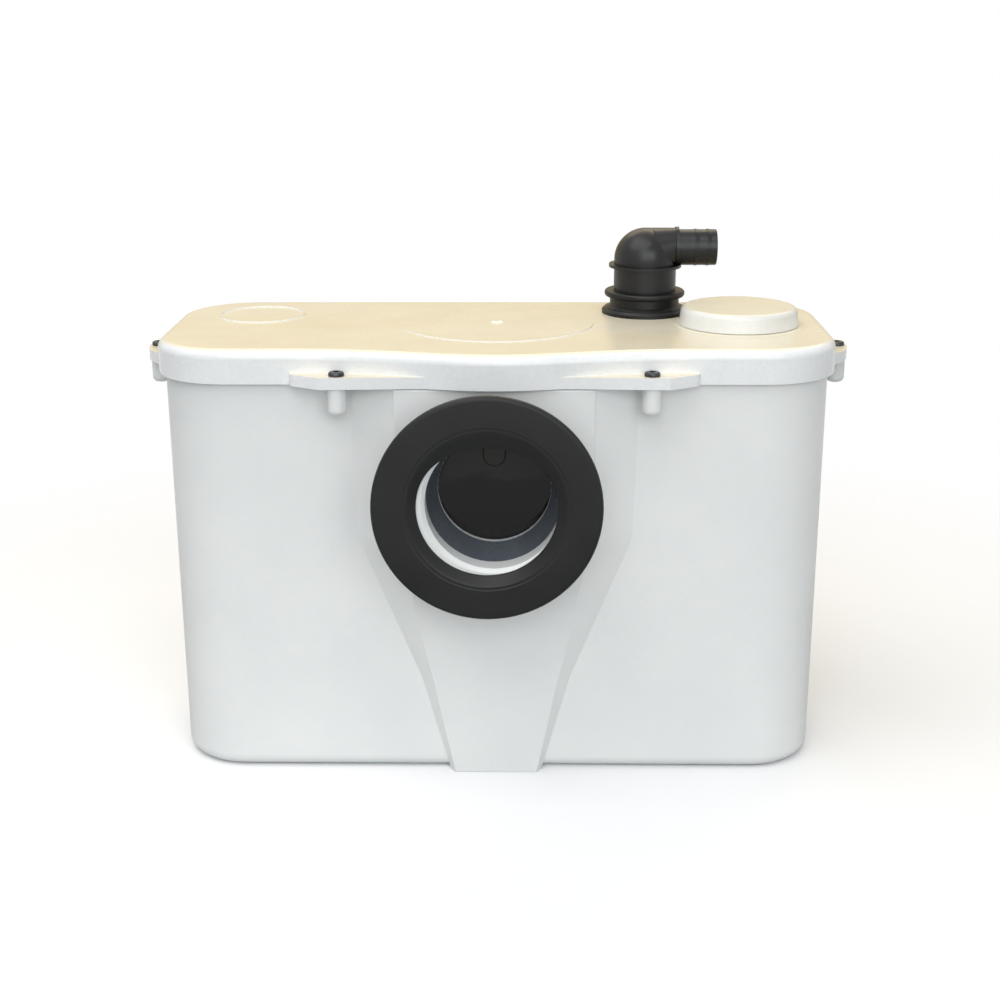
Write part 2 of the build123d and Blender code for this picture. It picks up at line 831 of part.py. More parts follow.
def make_lid_screws():
    """Six button-headed screws with a drive recess, one group."""
    head = Cylinder(
        screw_head_radius, screw_head_height, align=(Align.CENTER, Align.CENTER, Align.MIN)
    )
    head = fillet(head.edges().sort_by(Axis.Z)[-1], screw_head_round)
    recess = RegularPolygon(screw_recess_radius, 6)
    recess_z = screw_head_height - screw_recess_depth
    head = head - extrude(Pos(0, 0, recess_z) * recess, screw_recess_depth + cut_overrun)
    shank = Cylinder(
        screw_shank_radius, screw_length, align=(Align.CENTER, Align.CENTER, Align.MAX)
    )
    screw = head + shank
    return Compound(children=[Pos(x, y, ear_top_z) * screw for x, y in screw_places])


def make_inlet_collar():
    """The rubber collar: a sleeve on the spigot and a broad bevelled flange in front."""
    sleeve_radius = spigot_radius + collar_sleeve_wall
    face_y = spigot_end_y - collar_lip_length
    back_y = pad_face_y - pad_thickness - collar_root_gap
    flange = turned_y([
        (0, face_y),
        (collar_radius, face_y),
        (collar_radius, face_y + collar_flange),
        (0, face_y + collar_flange),
    ])
    flange = fillet(flange.edges().group_by(Axis.Y)[0], collar_flange_round)
    flange = fillet(flange.edges().group_by(Axis.Y)[-1], collar_flange_round)
    front = Plane(
        origin=(collar_shift_x, face_y - cut_overrun, inlet_z + collar_shift_z),
        x_dir=(1, 0, 0), z_dir=(0, 1, 0),
    )
    throat = Plane(
        origin=(0, face_y + collar_bevel_depth, inlet_z),
        x_dir=(1, 0, 0), z_dir=(0, 1, 0),
    )
    bevel = loft([front * Circle(collar_bevel_radius), throat * Circle(collar_lip_radius)])
    lip = turned_y([
        (0, face_y + collar_bevel_depth - wall_merge),
        (collar_lip_radius, face_y + collar_bevel_depth - wall_merge),
        (collar_lip_radius, spigot_end_y + cut_overrun),
        (0, spigot_end_y + cut_overrun),
    ])
    flange = Pos(collar_shift_x, 0, inlet_z + collar_shift_z) * flange
    sleeve = turned_y([
        (0, spigot_end_y - wall_merge),
        (sleeve_radius, spigot_end_y - wall_merge),
        (sleeve_radius, back_y),
        (0, back_y),
    ])
    collar = flange + Pos(0, 0, inlet_z) * sleeve
    collar = collar - bevel - Pos(0, 0, inlet_z) * lip
    pocket = turned_y([
        (0, spigot_end_y),
        (spigot_radius + running_gap, spigot_end_y),
        (spigot_radius + running_gap, back_y + cut_overrun),
        (0, back_y + cut_overrun),
    ])
    return collar - Pos(0, 0, inlet_z) * pocket


def make_inlet_flap():
    """A disc with a raised face, a weight behind it and a hinge knuckle above."""
    back_y = flap_front_y + flap_thickness
    disc = turned_y([
        (0, flap_front_y - flap_face_rise),
        (flap_seat_radius - flap_face_inset, flap_front_y - flap_face_rise),
        (flap_seat_radius - flap_face_inset, flap_front_y),
        (flap_radius, flap_front_y),
        (flap_radius, back_y),
        (flap_weight_radius, back_y),
        (flap_weight_radius, back_y + flap_weight_thickness),
        (0, back_y + flap_weight_thickness),
    ])
    knuckle = Cylinder(flap_knuckle_radius, flap_knuckle_width, rotation=(0, 90, 0))
    knuckle = Pos(0, flap_pin_y, flap_pin_z) * knuckle
    arm = Box(
        flap_knuckle_width, flap_thickness, flap_pin_z - inlet_z - flap_weight_radius,
        align=(Align.CENTER, Align.MIN, Align.MAX),
    )
    arm = Pos(0, flap_front_y, flap_pin_z) * arm
    flap = Pos(0, 0, inlet_z) * disc + knuckle + arm
    pin = Cylinder(flap_pin_radius + running_gap, 2 * flap_knuckle_width, rotation=(0, 90, 0))
    return flap - Pos(0, flap_pin_y, flap_pin_z) * pin


def make_flap_tab():
    """The round-ended tab that shows at the top of the flap."""
    top_z = inlet_z + flap_seat_radius - flap_tab_margin
    half = flap_tab_width / 2
    straight = flap_tab_height - half
    plan = Pos(0, top_z - straight / 2) * Rectangle(flap_tab_width, straight)
    plan = plan + Pos(0, top_z - straight) * Circle(half)
    depth = flap_tab_depth + flap_face_rise + flap_thickness / 2
    tab = extrude(Plane.XZ * plan, depth)
    tab = Pos(0, flap_front_y + flap_thickness / 2, 0) * tab
    tab = fillet(tab.faces().sort_by(Axis.Y)[0].edges(), flap_tab_depth / 2)
    return tab - make_inlet_flap()


def make_flap_pin():
    length = flap_knuckle_width + 2 * moving_gap + 2 * flap_lug_wall
    pin = Cylinder(flap_pin_radius, length, rotation=(0, 90, 0))
    return Pos(0, flap_pin_y, flap_pin_z) * pin


def make_discharge_cup():
    """The rubber cup: flange on the lid, flared foot, rolled rim, lip below the lid."""
    inner = elbow_body_radius + running_gap
    foot_z = lid_top_z + cup_flange_height
    low_z = lid_under_z - cup_below_lid
    cup = turned_z([
        (inner, low_z),
        (cup_body_radius, low_z),
        (cup_lip_radius, lid_under_z - cup_lip_height),
        (cup_lip_radius, lid_under_z),
        (cup_body_radius, lid_under_z),
        (cup_body_radius, lid_top_z),
        (cup_flange_radius, lid_top_z),
        (cup_flange_radius, foot_z - cup_flange_round),
        (cup_flange_radius - cup_flange_round, foot_z),
        (cup_body_radius + cup_flare, foot_z),
        (cup_body_radius, foot_z + cup_flare),
        (cup_body_radius, cup_rim_z - cup_rim_height / 2),
        (cup_rim_radius, cup_rim_z - cup_rim_height / 2),
        (cup_rim_radius, cup_rim_z + cup_rim_height / 2),
        (inner, cup_rim_z + cup_rim_height / 2),
    ])
    rim = cup.edges().filter_by(GeomType.CIRCLE).filter_by(lambda e: e.radius == cup_rim_radius)
    cup = fillet(rim.sort_by(Axis.Z)[-2:], cup_rim_round)
    return Pos(elbow_x, elbow_y, 0) * cup


def barb_points():
    """Outline of the hose spigot from its neck to its end, as (distance, radius) pairs."""
    bead_end = hose_bead_x + hose_bead_width
    land = hose_spigot_radius
    points = [
        (0, hose_neck_radius),
        (hose_bead_x, hose_neck_radius),
        (hose_bead_x, hose_neck_radius + hose_bead_rise),
        (bead_end, hose_neck_radius + hose_bead_rise),
        (bead_end, land),
    ]
    first = hose_spigot_end - hose_end_land - (hose_barb_count - 1) * hose_barb_pitch
    for number in range(hose_barb_count):
        crest = first + number * hose_barb_pitch
        points = points + [
            (crest, land),
            (crest, land + hose_barb_rise),
            (crest + hose_barb_length, land),
        ]
    tip = hose_spigot_end - hose_barb_rise
    points = points + [(tip, land), (hose_spigot_end, land - hose_barb_rise)]
    return points


def make_discharge_elbow():
    """A ball elbow: upright body turning in the cup, hose spigot to one side."""
    shoulder = elbow_foot_z
    body = turned_z([
        (0, shoulder - elbow_lower_length),
        (elbow_lower_radius, shoulder - elbow_lower_length),
        (elbow_lower_radius, shoulder),
        (elbow_body_radius, shoulder),
        (elbow_body_radius, elbow_rib_z),
        (elbow_rib_radius, elbow_rib_z),
        (elbow_rib_radius, elbow_rib_z + elbow_rib_height),
        (elbow_body_radius, elbow_rib_z + elbow_rib_height),
        (elbow_body_radius, ball_z),
        (0, ball_z),
    ])
    body = body + Pos(0, 0, ball_z) * Sphere(elbow_body_radius, rotation=(0, ball_pole_tilt, 0))
    spigot = Pos(0, 0, elbow_axis_z) * turned_x([(0, 0)] + barb_points() + [(hose_spigot_end, 0)])
    throat_z = elbow_axis_z + hose_neck_radius - neck_root_radius
    throat = Plane(origin=(neck_root_x, 0, throat_z), x_dir=(0, 1, 0), z_dir=(1, 0, 0))
    bead = Plane(origin=(hose_bead_x, 0, elbow_axis_z), x_dir=(0, 1, 0), z_dir=(1, 0, 0))
    body = body + loft([throat * Circle(neck_root_radius), bead * Circle(hose_neck_radius)])
    bore = Pos(0, 0, ball_z) * Sphere(elbow_bore_radius, rotation=(0, ball_pole_tilt, 0))
    low_z = shoulder - elbow_lower_length - cut_overrun
    bore = bore + upright(0, 0, low_z, ball_z, elbow_bore_radius)
    outlet = Cylinder(
        hose_spigot_bore, hose_spigot_end + cut_overrun,
        rotation=(0, 90, 0), align=(Align.CENTER, Align.CENTER, Align.MIN),
    )
    elbow = body + spigot - bore - Pos(0, 0, elbow_axis_z) * outlet
    return Pos(elbow_x, elbow_y, 0) * elbow


def make_vent_cap():
    top_z = cap_foot_z + cap_height
    cap = Cone(cap_radius, cap_radius - cap_draft, cap_height, align=(Align.CENTER, Align.CENTER, Align.MIN))
    cap = fillet(cap.edges().sort_by(Axis.Z)[-1], cap_edge_radius)
    inside = Cylinder(
        cap_radius - cap_draft - cap_wall, cap_height - cap_wall + cut_overrun,
        align=(Align.CENTER, Align.CENTER, Align.MAX),
    )
    cap = Pos(0, 0, cap_foot_z) * cap - Pos(0, 0, top_z - cap_wall) * inside
    return Pos(cap_x, cap_y, 0) * cap


def make_cap_seal():
    seal = ring(port_neck_radius, port_inner_radius + moving_gap, cap_seal_height)
    return Pos(cap_x, cap_y, cap_under_z - cap_seal_height) * seal


def make_carbon_filter():
    """A ribbed cartridge that hangs from the cap into the port."""
    body = upright(0, 0, cap_under_z - filter_height, cap_under_z, port_inner_radius - filter_gap)
    middle_z = cap_under_z - filter_height / 2
    groove = ring(port_neck_radius, port_inner_radius - port_neck_wall, filter_height / 4)
    groove = Pos(0, 0, middle_z - filter_height / 4) * groove
    return Pos(cap_x, cap_y, 0) * (body - groove)


def bearing_hub(x_from, x_to):
    return lying_x(bearing_radius + bearing_hub_wall, x_from, x_to)


def make_motor_housing():
    """A finned can with a flange and face at the pump end, open at the other."""
    can = lying_x(motor_radius, motor_back_x, motor_front_x)
    flange = lying_x(volute_radius, motor_front_x - motor_flange, motor_front_x)
    fin_length = motor_length - motor_flange - end_cover_height
    fin = Box(
        fin_length, motor_fin_width, motor_fin_height + motor_wall,
        align=(Align.MAX, Align.CENTER, Align.MIN),
    )
    fins = Part()
    for number in range(motor_fin_count):
        angle = motor_fin_first + number * motor_fin_step - 90
        place = Pos(motor_front_x, shaft_y, shaft_z) * Rot(angle, 0, 0)
        fins = fins + place * Pos(0, 0, motor_radius - motor_wall) * fin
    hollow = lying_x(
        motor_radius - motor_wall, motor_back_x - cut_overrun, motor_front_x - motor_face
    )
    hub = bearing_hub(motor_front_x - motor_face - bearing_width, motor_front_x - wall_merge)
    seat_x = motor_front_x - motor_face
    seat = lying_x(bearing_radius, seat_x - bearing_width - cut_overrun, seat_x)
    seal_seat = lying_x(seal_radius, seat_x + motor_face / 3, motor_front_x + cut_overrun)
    shaft_hole = lying_x(shaft_radius + wall_merge, seat_x - cut_overrun, motor_front_x)
    housing = can + flange + fins - hollow + hub - seat - seal_seat - shaft_hole
    for place in PolarLocations(pump_screw_ring, pump_screw_count):
        hole = extrude(across(motor_front_x - motor_flange) * place * Circle(pump_screw_radius),
                       motor_flange + cut_overrun)
        housing = housing - hole
    for place in cover_screw_spots(motor_back_x):
        housing = housing - place * Pos(0, 0, 0) * cover_thread()
    return housing


def cover_screw_spots(x):
    """Places of the end cover's screws, looking along +X."""
    ring_radius = motor_radius - motor_wall / 2
    return [across(x).location * place for place in PolarLocations(ring_radius, cover_screw_count)]


def cover_thread():
    return Cylinder(
        cover_screw_radius, cover_screw_length - cover_screw_spot,
        align=(Align.CENTER, Align.CENTER, Align.MIN),
    )


def make_motor_end_cover():
    back = motor_back_x - end_cover_height
    cover = lying_x(motor_radius, back, motor_back_x)
    cover = cover.fillet(motor_wall, cover.edges().group_by(Axis.X)[0])
    hollow = lying_x(motor_radius - motor_wall, back + motor_wall, motor_back_x + cut_overrun)
    hub = bearing_hub(back + wall_merge, motor_back_x + wall_merge)
    seat = lying_x(bearing_radius, motor_back_x + wall_merge - bearing_width, motor_back_x + cut_overrun)
    seat = seat + lying_x(shaft_radius + wall_merge, back + motor_wall, motor_back_x)
    cover = cover - hollow + hub - seat
    for place in cover_screw_spots(back):
        spot = Cylinder(
            cover_screw_head + moving_gap, 2 * cover_screw_spot, align=(Align.CENTER,) * 3
        )
        cover = cover - place * spot
        hole = Cylinder(cover_screw_radius + running_gap, 4 * end_cover_height)
        cover = cover - place * hole
    return cover


def make_cover_screws():
    screw = Cylinder(
        cover_screw_head, cover_screw_head_height, align=(Align.CENTER, Align.CENTER, Align.MAX)
    ) + Cylinder(
        cover_screw_radius, cover_screw_length, align=(Align.CENTER, Align.CENTER, Align.MIN)
    )
    start = motor_back_x - end_cover_height + cover_screw_spot
    return Compound(children=[place * screw for place in cover_screw_spots(start)])


def make_motor_pads():
    pads = []
    for offset in saddle_places:
        x = motor_front_x - offset
        pad = lying_x(motor_radius + pad_rubber, x - saddle_width / 2, x + saddle_width / 2)
        pad = pad - lying_x(motor_radius, x - saddle_width, x + saddle_width)
        keep = Pos(x, shaft_y, 0) * Box(
            2 * saddle_width, 2 * saddle_half_width, shaft_z - motor_radius / 2,
            align=(Align.CENTER, Align.CENTER, Align.MIN),
        )
        pads.append(pad & keep)
    return Compound(children=pads)


def make_stator():
    """A laminated ring with slots open to the bore."""
    ring_face = Circle(motor_radius - motor_wall) - Circle(stator_bore_radius)
    slot = Rectangle(2 * stator_slot_depth, stator_slot_width)
    for place in PolarLocations(stator_bore_radius, stator_slot_count):
        ring_face = ring_face - place * slot
    return extrude(across(stator_x) * ring_face, stator_length)


def make_windings():
    """Coil sides in the slots and a rounded end turn at each face, one piece of copper."""
    inner = stator_bore_radius + winding_inset
    outer = stator_bore_radius + stator_slot_depth
    face = Circle(outer) - Circle(inner)
    end_turn = extrude(across(stator_x - winding_overhang) * face, winding_overhang - slot_liner)
    end_turn = end_turn.fillet(winding_inset, end_turn.edges().group_by(Axis.X)[0])
    far = extrude(across(stator_x + stator_length + slot_liner) * face, winding_overhang - slot_liner)
    far = far.fillet(winding_inset, far.edges().group_by(Axis.X)[-1])
    coil = Rectangle(outer - inner, stator_slot_width - 2 * slot_liner)
    middle = (outer + inner) / 2 - slot_liner
    sides = Sketch()
    for place in PolarLocations(middle, stator_slot_count):
        sides = sides + place * coil
    sides = extrude(across(stator_x - 2 * slot_liner) * sides, stator_length + 4 * slot_liner)
    return end_turn + far + sides


def make_rotor():
    core = lying_x(stator_bore_radius - rotor_air_gap, stator_x, stator_x + stator_length)
    return core - lying_x(shaft_radius, stator_x - cut_overrun, stator_x + stator_length + cut_overrun)


def make_shaft():
    start = motor_back_x + wall_merge - bearing_width
    step = cutter_x
    end = cutter_x + cutter_thickness + nut_height + wall_merge
    return lying_x(shaft_radius, start, step) + lying_x(shaft_end_radius, step - wall_merge, end)


def make_bearings():
    front = motor_front_x - motor_face - bearing_width
    rear = motor_back_x + wall_merge - bearing_width
    hole = shaft_radius + running_gap
    rings = []
    for start in (front, rear):
        body = lying_x(bearing_radius, start, start + bearing_width)
        rings.append(body - lying_x(hole, start - cut_overrun, start + bearing_width + cut_overrun))
    return Compound(children=rings)


def make_shaft_seal():
    start = motor_front_x - motor_face + motor_face / 3
    body = lying_x(seal_radius, start, motor_front_x)
    return body - lying_x(shaft_radius + running_gap, start - cut_overrun, motor_front_x + cut_overrun)


def make_motor_gasket():
    face = Circle(volute_radius) - Circle(seal_radius + motor_wall)
    for place in PolarLocations(pump_screw_ring, pump_screw_count):
        face = face - place * Circle(pump_screw_radius + running_gap)
    return extrude(across(motor_front_x) * face, motor_gasket_height)


def spiral_face():
    """The pump chamber's spiral, widening towards the outlet."""
    points = []
    for number in range(volute_points):
        turn = number / (volute_points - 1)
        radius = volute_start_radius + volute_growth * turn
        points.append((radius * cos(2 * pi * turn), radius * sin(2 * pi * turn)))
    return make_face(Spline(*points) + Line(points[-1], points[0]))


def make_volute():
    """A drum with a spiral chamber, open towards the cover, and an outlet on top."""
    drum = lying_x(volute_radius, volute_back_x, volute_front_x)
    stub_radius = outlet_bore_radius + outlet_wall
    stub = upright(volute_x, elbow_y, shaft_z + wall_merge, outlet_top_z, stub_radius)
    body = drum + stub
    chamber = extrude(
        across(volute_back_x + volute_wall) * spiral_face(), volute_width - volute_wall + cut_overrun
    )
    bore_z = shaft_z + 2 * wall_merge
    bore = upright(volute_x, elbow_y, bore_z, outlet_top_z + cut_overrun, outlet_bore_radius)
    body = body - chamber - bore
    hub_hole = seal_radius + motor_wall
    body = body - lying_x(hub_hole, volute_back_x - cut_overrun, volute_front_x)
    return body - pump_screw_holes()


def pump_screw_holes():
    holes = Part()
    for place in PolarLocations(pump_screw_ring, pump_screw_count):
        hole = across(volute_back_x - cut_overrun) * place * Circle(pump_screw_radius + running_gap)
        holes = holes + extrude(hole, volute_width + 4 * cut_overrun)
    return holes


def make_pump_cover():
    cover = lying_x(volute_radius, volute_front_x, cover_front_x)
    eye = lying_x(eye_radius, volute_front_x - cut_overrun, cover_front_x + cut_overrun)
    return cover - eye - pump_screw_holes()


def make_pump_screws():
    length = cover_front_x - motor_front_x + pump_screw_bite
    screws = []
    for place in PolarLocations(pump_screw_ring, pump_screw_count):
        shank = extrude(across(cover_front_x - length) * place * Circle(pump_screw_radius), length)
        head = extrude(across(cover_front_x) * place * Circle(pump_screw_head), pump_screw_head_height)
        screws.append(shank + head)
    return Compound(children=screws)


def make_impeller():
    """An open impeller: plate, hub and swept vanes."""
    plate_x = volute_back_x + volute_wall + impeller_face_gap
    impeller = lying_x(impeller_radius, plate_x, plate_x + impeller_plate)
    sweep = radians(impeller_vane_sweep)
    start = impeller_hub_radius - impeller_vane_wall
    stop = impeller_radius - impeller_vane_wall
    middle = (start + stop) / 2
    arc = ThreePointArc(
        (start, 0),
        (middle * cos(sweep / 3), middle * sin(sweep / 3)),
        (stop * cos(sweep), stop * sin(sweep)),
    )
    vane = trace(arc, impeller_vane_wall)
    vanes = Sketch()
    for number in range(impeller_vane_count):
        vanes = vanes + Rot(0, 0, number * 360 / impeller_vane_count) * vane
    vanes = vanes + Circle(impeller_hub_radius)
    impeller = impeller + extrude(across(plate_x + impeller_plate) * vanes, impeller_vane_height)
    return impeller - lying_x(shaft_radius, volute_back_x, cover_front_x)


def make_cutter():
    """A two-armed blade with tapered arms and turned-up tips."""
    half = cutter_reach
    plan = make_face(Polyline(
        (half, cutter_tip_width / 2),
        (0, cutter_width / 2),
        (-half, cutter_tip_width / 2),
        (-half, -cutter_tip_width / 2),
        (0, -cutter_width / 2),
        (half, -cutter_tip_width / 2),
        close=True,
    )) + Circle(impeller_hub_radius)
    blade = extrude(across(cutter_x) * plan, cutter_thickness)
    tip_x = half - cutter_thickness / 2
    for side in (-1, 1):
        tip = Pos(side * tip_x, 0) * Rectangle(cutter_thickness, cutter_tip_width)
        blade = blade + extrude(across(cutter_x) * tip, cutter_thickness + cutter_tip_rise)
    return blade - lying_x(shaft_end_radius, cutter_x - cut_overrun, cutter_x + 2 * cut_overrun)


def make_cutter_nut():
    start = cutter_x + cutter_thickness
    flats = RegularPolygon(nut_flats / 2, 6, major_radius=False)
    nut = extrude(across(start) * flats, nut_height)
    return nut - lying_x(shaft_end_radius, start - cut_overrun, start + 3 * cut_overrun)


def basket_face(wall, lift):
    """The basket's outline: round below, upright at the back, flared to the inlet in front."""
    radius = basket_radius + wall
    path = Polyline(
        (-radius, 0),
        (-radius, basket_front_knee),
        (-basket_mouth - wall, basket_front_top + lift),
        (radius, basket_back_top + lift),
        (radius, 0),
    )
    return make_face(path + ThreePointArc((radius, 0), (0, -radius), (-radius, 0)))


def make_cutter_basket():
    """A slotted trough around the cutter, on posts in front of the pump cover."""
    basket = extrude(across(basket_x) * basket_face(basket_wall, 0), basket_length)
    hollow_length = basket_length - 2 * basket_wall
    basket = basket - extrude(
        across(basket_x + basket_wall) * basket_face(0, cut_overrun), hollow_length
    )
    span = hollow_length - basket_slot_length
    slot = Box(basket_slot_length, basket_slot_width, 3 * basket_wall)
    first = -basket_slot_step * (basket_slot_rows - 1) / 2
    for row in range(basket_slot_rows):
        turned = Pos(0, shaft_y, shaft_z) * Rot(first + row * basket_slot_step, 0, 0)
        for column in range(basket_slot_columns):
            x = basket_x + basket_wall + basket_slot_length / 2
            x = x + span * (column + 1 / 2) / basket_slot_columns
            basket = basket - turned * Pos(x, 0, -basket_radius) * slot
    basket = basket - lying_x(basket_hub_hole, basket_x - cut_overrun, basket_x + cut_overrun)
    for place in PolarLocations(basket_post_ring, basket_post_count, start_angle=-90):
        post = across(cover_front_x) * place * Circle(basket_post_radius)
        basket = basket + extrude(post, basket_standoff + basket_wall)
    return basket


def make_valve_body():
    """The non-return valve's chamber: seat below, hinge lugs, roof with the outlet."""
    top_z = outlet_top_z + valve_height
    body = upright(0, 0, outlet_top_z, top_z, valve_radius)
    seat_z = outlet_top_z + valve_seat_height
    body = body - upright(0, 0, seat_z, top_z - valve_roof, valve_chamber_radius)
    body = body - upright(0, 0, outlet_top_z - cut_overrun, top_z + cut_overrun, pipe_bore_radius)
    lug = Box(
        valve_lug_wall, valve_radius - valve_hinge_offset + valve_knuckle_radius - wall_merge,
        valve_hinge_z + valve_knuckle_radius - seat_z,
        align=(Align.CENTER, Align.MIN, Align.MIN),
    )
    lug = fillet(lug.edges().filter_by(Axis.X).group_by(Axis.Z)[-1].sort_by(Axis.Y)[0], valve_lug_round)
    lug_x = valve_knuckle_width / 2 + moving_gap + valve_lug_wall / 2
    for side in (-1, 1):
        place = Pos(side * lug_x, valve_hinge_offset - valve_knuckle_radius, seat_z)
        body = body + place * lug
    body = Pos(volute_x, elbow_y, 0) * body
    pin_length = valve_knuckle_width + 2 * moving_gap + 2 * valve_lug_wall
    pin = Cylinder(valve_pin_radius, pin_length, rotation=(0, 90, 0))
    return body - Pos(volute_x, elbow_y + valve_hinge_offset, valve_hinge_z) * pin


def make_valve_pin():
    pin_length = valve_knuckle_width + 2 * moving_gap + 2 * valve_lug_wall
    pin = Cylinder(valve_pin_radius, pin_length, rotation=(0, 90, 0))
    return Pos(volute_x, elbow_y + valve_hinge_offset, valve_hinge_z) * pin


def make_valve_flap():
    """A round flap with a knuckle at its rear edge."""
    seat_z = outlet_top_z + valve_seat_height + moving_gap
    disc = upright(0, 0, seat_z, seat_z + valve_disc_thickness, valve_disc_radius)
    arm = Pos(0, 0, seat_z) * Box(
        valve_knuckle_width, valve_hinge_offset, valve_disc_thickness,
        align=(Align.CENTER, Align.MIN, Align.MIN),
    )
    knuckle = Cylinder(valve_knuckle_radius, valve_knuckle_width, rotation=(0, 90, 0))
    knuckle = Pos(0, valve_hinge_offset, valve_hinge_z) * knuckle
    hole = Cylinder(valve_pin_radius + running_gap, 2 * valve_knuckle_width, rotation=(0, 90, 0))
    flap = disc + arm + knuckle - Pos(0, valve_hinge_offset, valve_hinge_z) * hole
    return Pos(volute_x, elbow_y, 0) * flap


def make_discharge_pipe():
    """From the valve up, across under the lid and up into the elbow's socket."""
    start_z = outlet_top_z + valve_height
    socket_z = socket_top_z - socket_depth
    path = FilletPolyline(
        (volute_x, elbow_y, start_z),
        (volute_x, elbow_y, pipe_run_z),
        (elbow_x, elbow_y, pipe_run_z),
        (elbow_x, elbow_y, socket_z),
        radius=pipe_bend_radius,
    )
    start = Plane(origin=(volute_x, elbow_y, start_z), z_dir=(0, 0, 1))
    pipe = sweep(start * Circle(pipe_radius), path)
    socket_radius = elbow_lower_radius + running_gap + socket_wall
    socket = upright(elbow_x, elbow_y, socket_z - socket_floor, socket_top_z, socket_radius)
    mouth = elbow_lower_radius + running_gap
    socket = socket - upright(elbow_x, elbow_y, socket_z, socket_top_z + cut_overrun, mouth)
    bore = sweep(start * Circle(pipe_bore_radius), path)
    return pipe + socket - bore


def make_pressure_bell():
    """The air bell that stands on the floor, with water gates at its foot."""
    inner = bell_radius - bell_wall
    bell = turned_z([
        (0, tank_wall),
        (bell_radius, tank_wall),
        (bell_radius, bell_top_z - switch_flange),
        (switch_flange_radius, bell_top_z - switch_flange),
        (switch_flange_radius, bell_top_z),
        (0, bell_top_z),
    ])
    bell = bell - upright(0, 0, tank_wall - cut_overrun, bell_top_z + cut_overrun, inner)
    gate = Pos(0, 0, tank_wall) * Box(
        2 * switch_flange_radius, bell_notch_width, 2 * bell_notch_height
    )
    bell = bell - gate - Rot(0, 0, 90) * gate
    return Pos(switch_x, switch_y, 0) * bell


def make_membrane():
    return upright(switch_x, switch_y, membrane_z, cover_z, membrane_radius)


def make_switch_cover():
    """Spring chamber below, microswitch dome above, with a guide for the plunger between."""
    low = switch_flange_radius - switch_flange
    dome_top = partition_z + cover_dome_height
    cover = turned_z([
        (0, cover_z),
        (switch_flange_radius, cover_z),
        (switch_flange_radius, cover_z + switch_flange),
        (low, cover_z + switch_flange),
        (cover_dome_radius, partition_z),
        (cover_dome_radius, dome_top),
        (0, dome_top),
    ])
    wall = cover_dome_wall
    chamber = turned_z([
        (0, cover_z - cut_overrun),
        (cover_dome_radius, cover_z - cut_overrun),
        (cover_dome_radius, cover_z + switch_flange),
        (cover_dome_radius - wall, partition_z - wall),
        (0, partition_z - wall),
    ])
    room = upright(0, 0, partition_z, dome_top - wall, cover_dome_radius - wall)
    guide = upright(0, 0, cover_z, partition_z + cut_overrun, plunger_radius + running_gap)
    cover = cover - chamber - room - guide
    post = Box(
        post_wall, microswitch_width, microswitch_z - partition_z,
        align=(Align.CENTER, Align.CENTER, Align.MIN),
    )
    for side in (-1, 1):
        x = side * (microswitch_length - post_wall) / 2
        cover = cover + Pos(x, 0, partition_z) * post
    return Pos(switch_x, switch_y, 0) * cover


def make_plunger():
    start = cover_z + moving_gap
    disc = upright(switch_x, switch_y, start, start + plunger_disc, plunger_disc_radius)
    return disc + upright(switch_x, switch_y, start, plunger_top_z, plunger_radius)


def spring_height():
    free = switch_chamber_height - cover_dome_wall - moving_gap - plunger_disc
    return free - 2 * spring_wire_radius


def make_spring():
    """One unbroken coil between the plunger's disc and the guide above it."""
    height = spring_height()
    start_z = cover_z + moving_gap + plunger_disc + spring_wire_radius
    pitch = height / spring_turns
    helix = Helix(pitch=pitch, height=height, radius=spring_radius)
    wire = Plane(origin=helix @ 0, z_dir=helix % 0) * Circle(spring_wire_radius)
    print("spring gap at rest", round(pitch - 2 * spring_wire_radius, 3))
    squeezed = (height - switch_travel) / spring_turns
    print("spring gap when squeezed", round(squeezed - 2 * spring_wire_radius, 3))
    return Pos(switch_x, switch_y, start_z) * sweep(wire, helix, is_frenet=True)


def make_microswitch():
    body = Box(
        microswitch_length, microswitch_width, microswitch_height,
        align=(Align.CENTER, Align.CENTER, Align.MIN),
    )
    body = fillet(body.edges().filter_by(Axis.Z), wall_merge)
    pocket_side = button_side + 2 * running_gap
    pocket = Box(pocket_side, pocket_side, 2 * (button_seat + switch_travel + moving_gap))
    return Pos(switch_x, switch_y, microswitch_z) * (body - pocket)


def make_button():
    button = Box(
        button_side, button_side, button_height, align=(Align.CENTER, Align.CENTER, Align.MIN)
    )
    return Pos(switch_x, switch_y, button_z) * button


def make_control_box():
    """A moulded tub under the lid plate that keeps the electrical parts dry."""
    outside = RectangleRounded(box_length, box_width, box_corner_radius)
    inside = RectangleRounded(
        box_length - 2 * box_wall, box_width - 2 * box_wall, box_corner_radius - box_wall
    )
    tub = extrude(Pos(0, 0, box_floor_z) * outside, box_height)
    tub = fillet(tub.faces().sort_by(Axis.Z)[0].edges(), box_wall)
    tub = tub - extrude(Pos(0, 0, box_floor_z + box_wall) * inside, box_height)
    return Pos(box_x, box_y, 0) * tub


def make_capacitor():
    """A can lying along the box, with its fixing stud."""
    y = box_y - box_width / 2 + box_wall + capacitor_radius + moving_gap
    z = box_floor_z + box_wall + capacitor_radius
    lie = dict(rotation=(0, 90, 0))
    can = Cylinder(capacitor_radius, capacitor_length, **lie)
    can = fillet(can.edges(), box_wall / 2)
    stud = Cylinder(capacitor_stud_radius, capacitor_stud_length + wall_merge, **lie)
    reach = capacitor_length / 2 + capacitor_stud_length / 2
    return Pos(box_x, y, z) * (can + Pos(reach, 0, 0) * stud)


def terminal_place():
    y = box_y + box_width / 2 - box_wall - terminal_width / 2 - moving_gap
    return Pos(box_x, y, box_floor_z + box_wall)


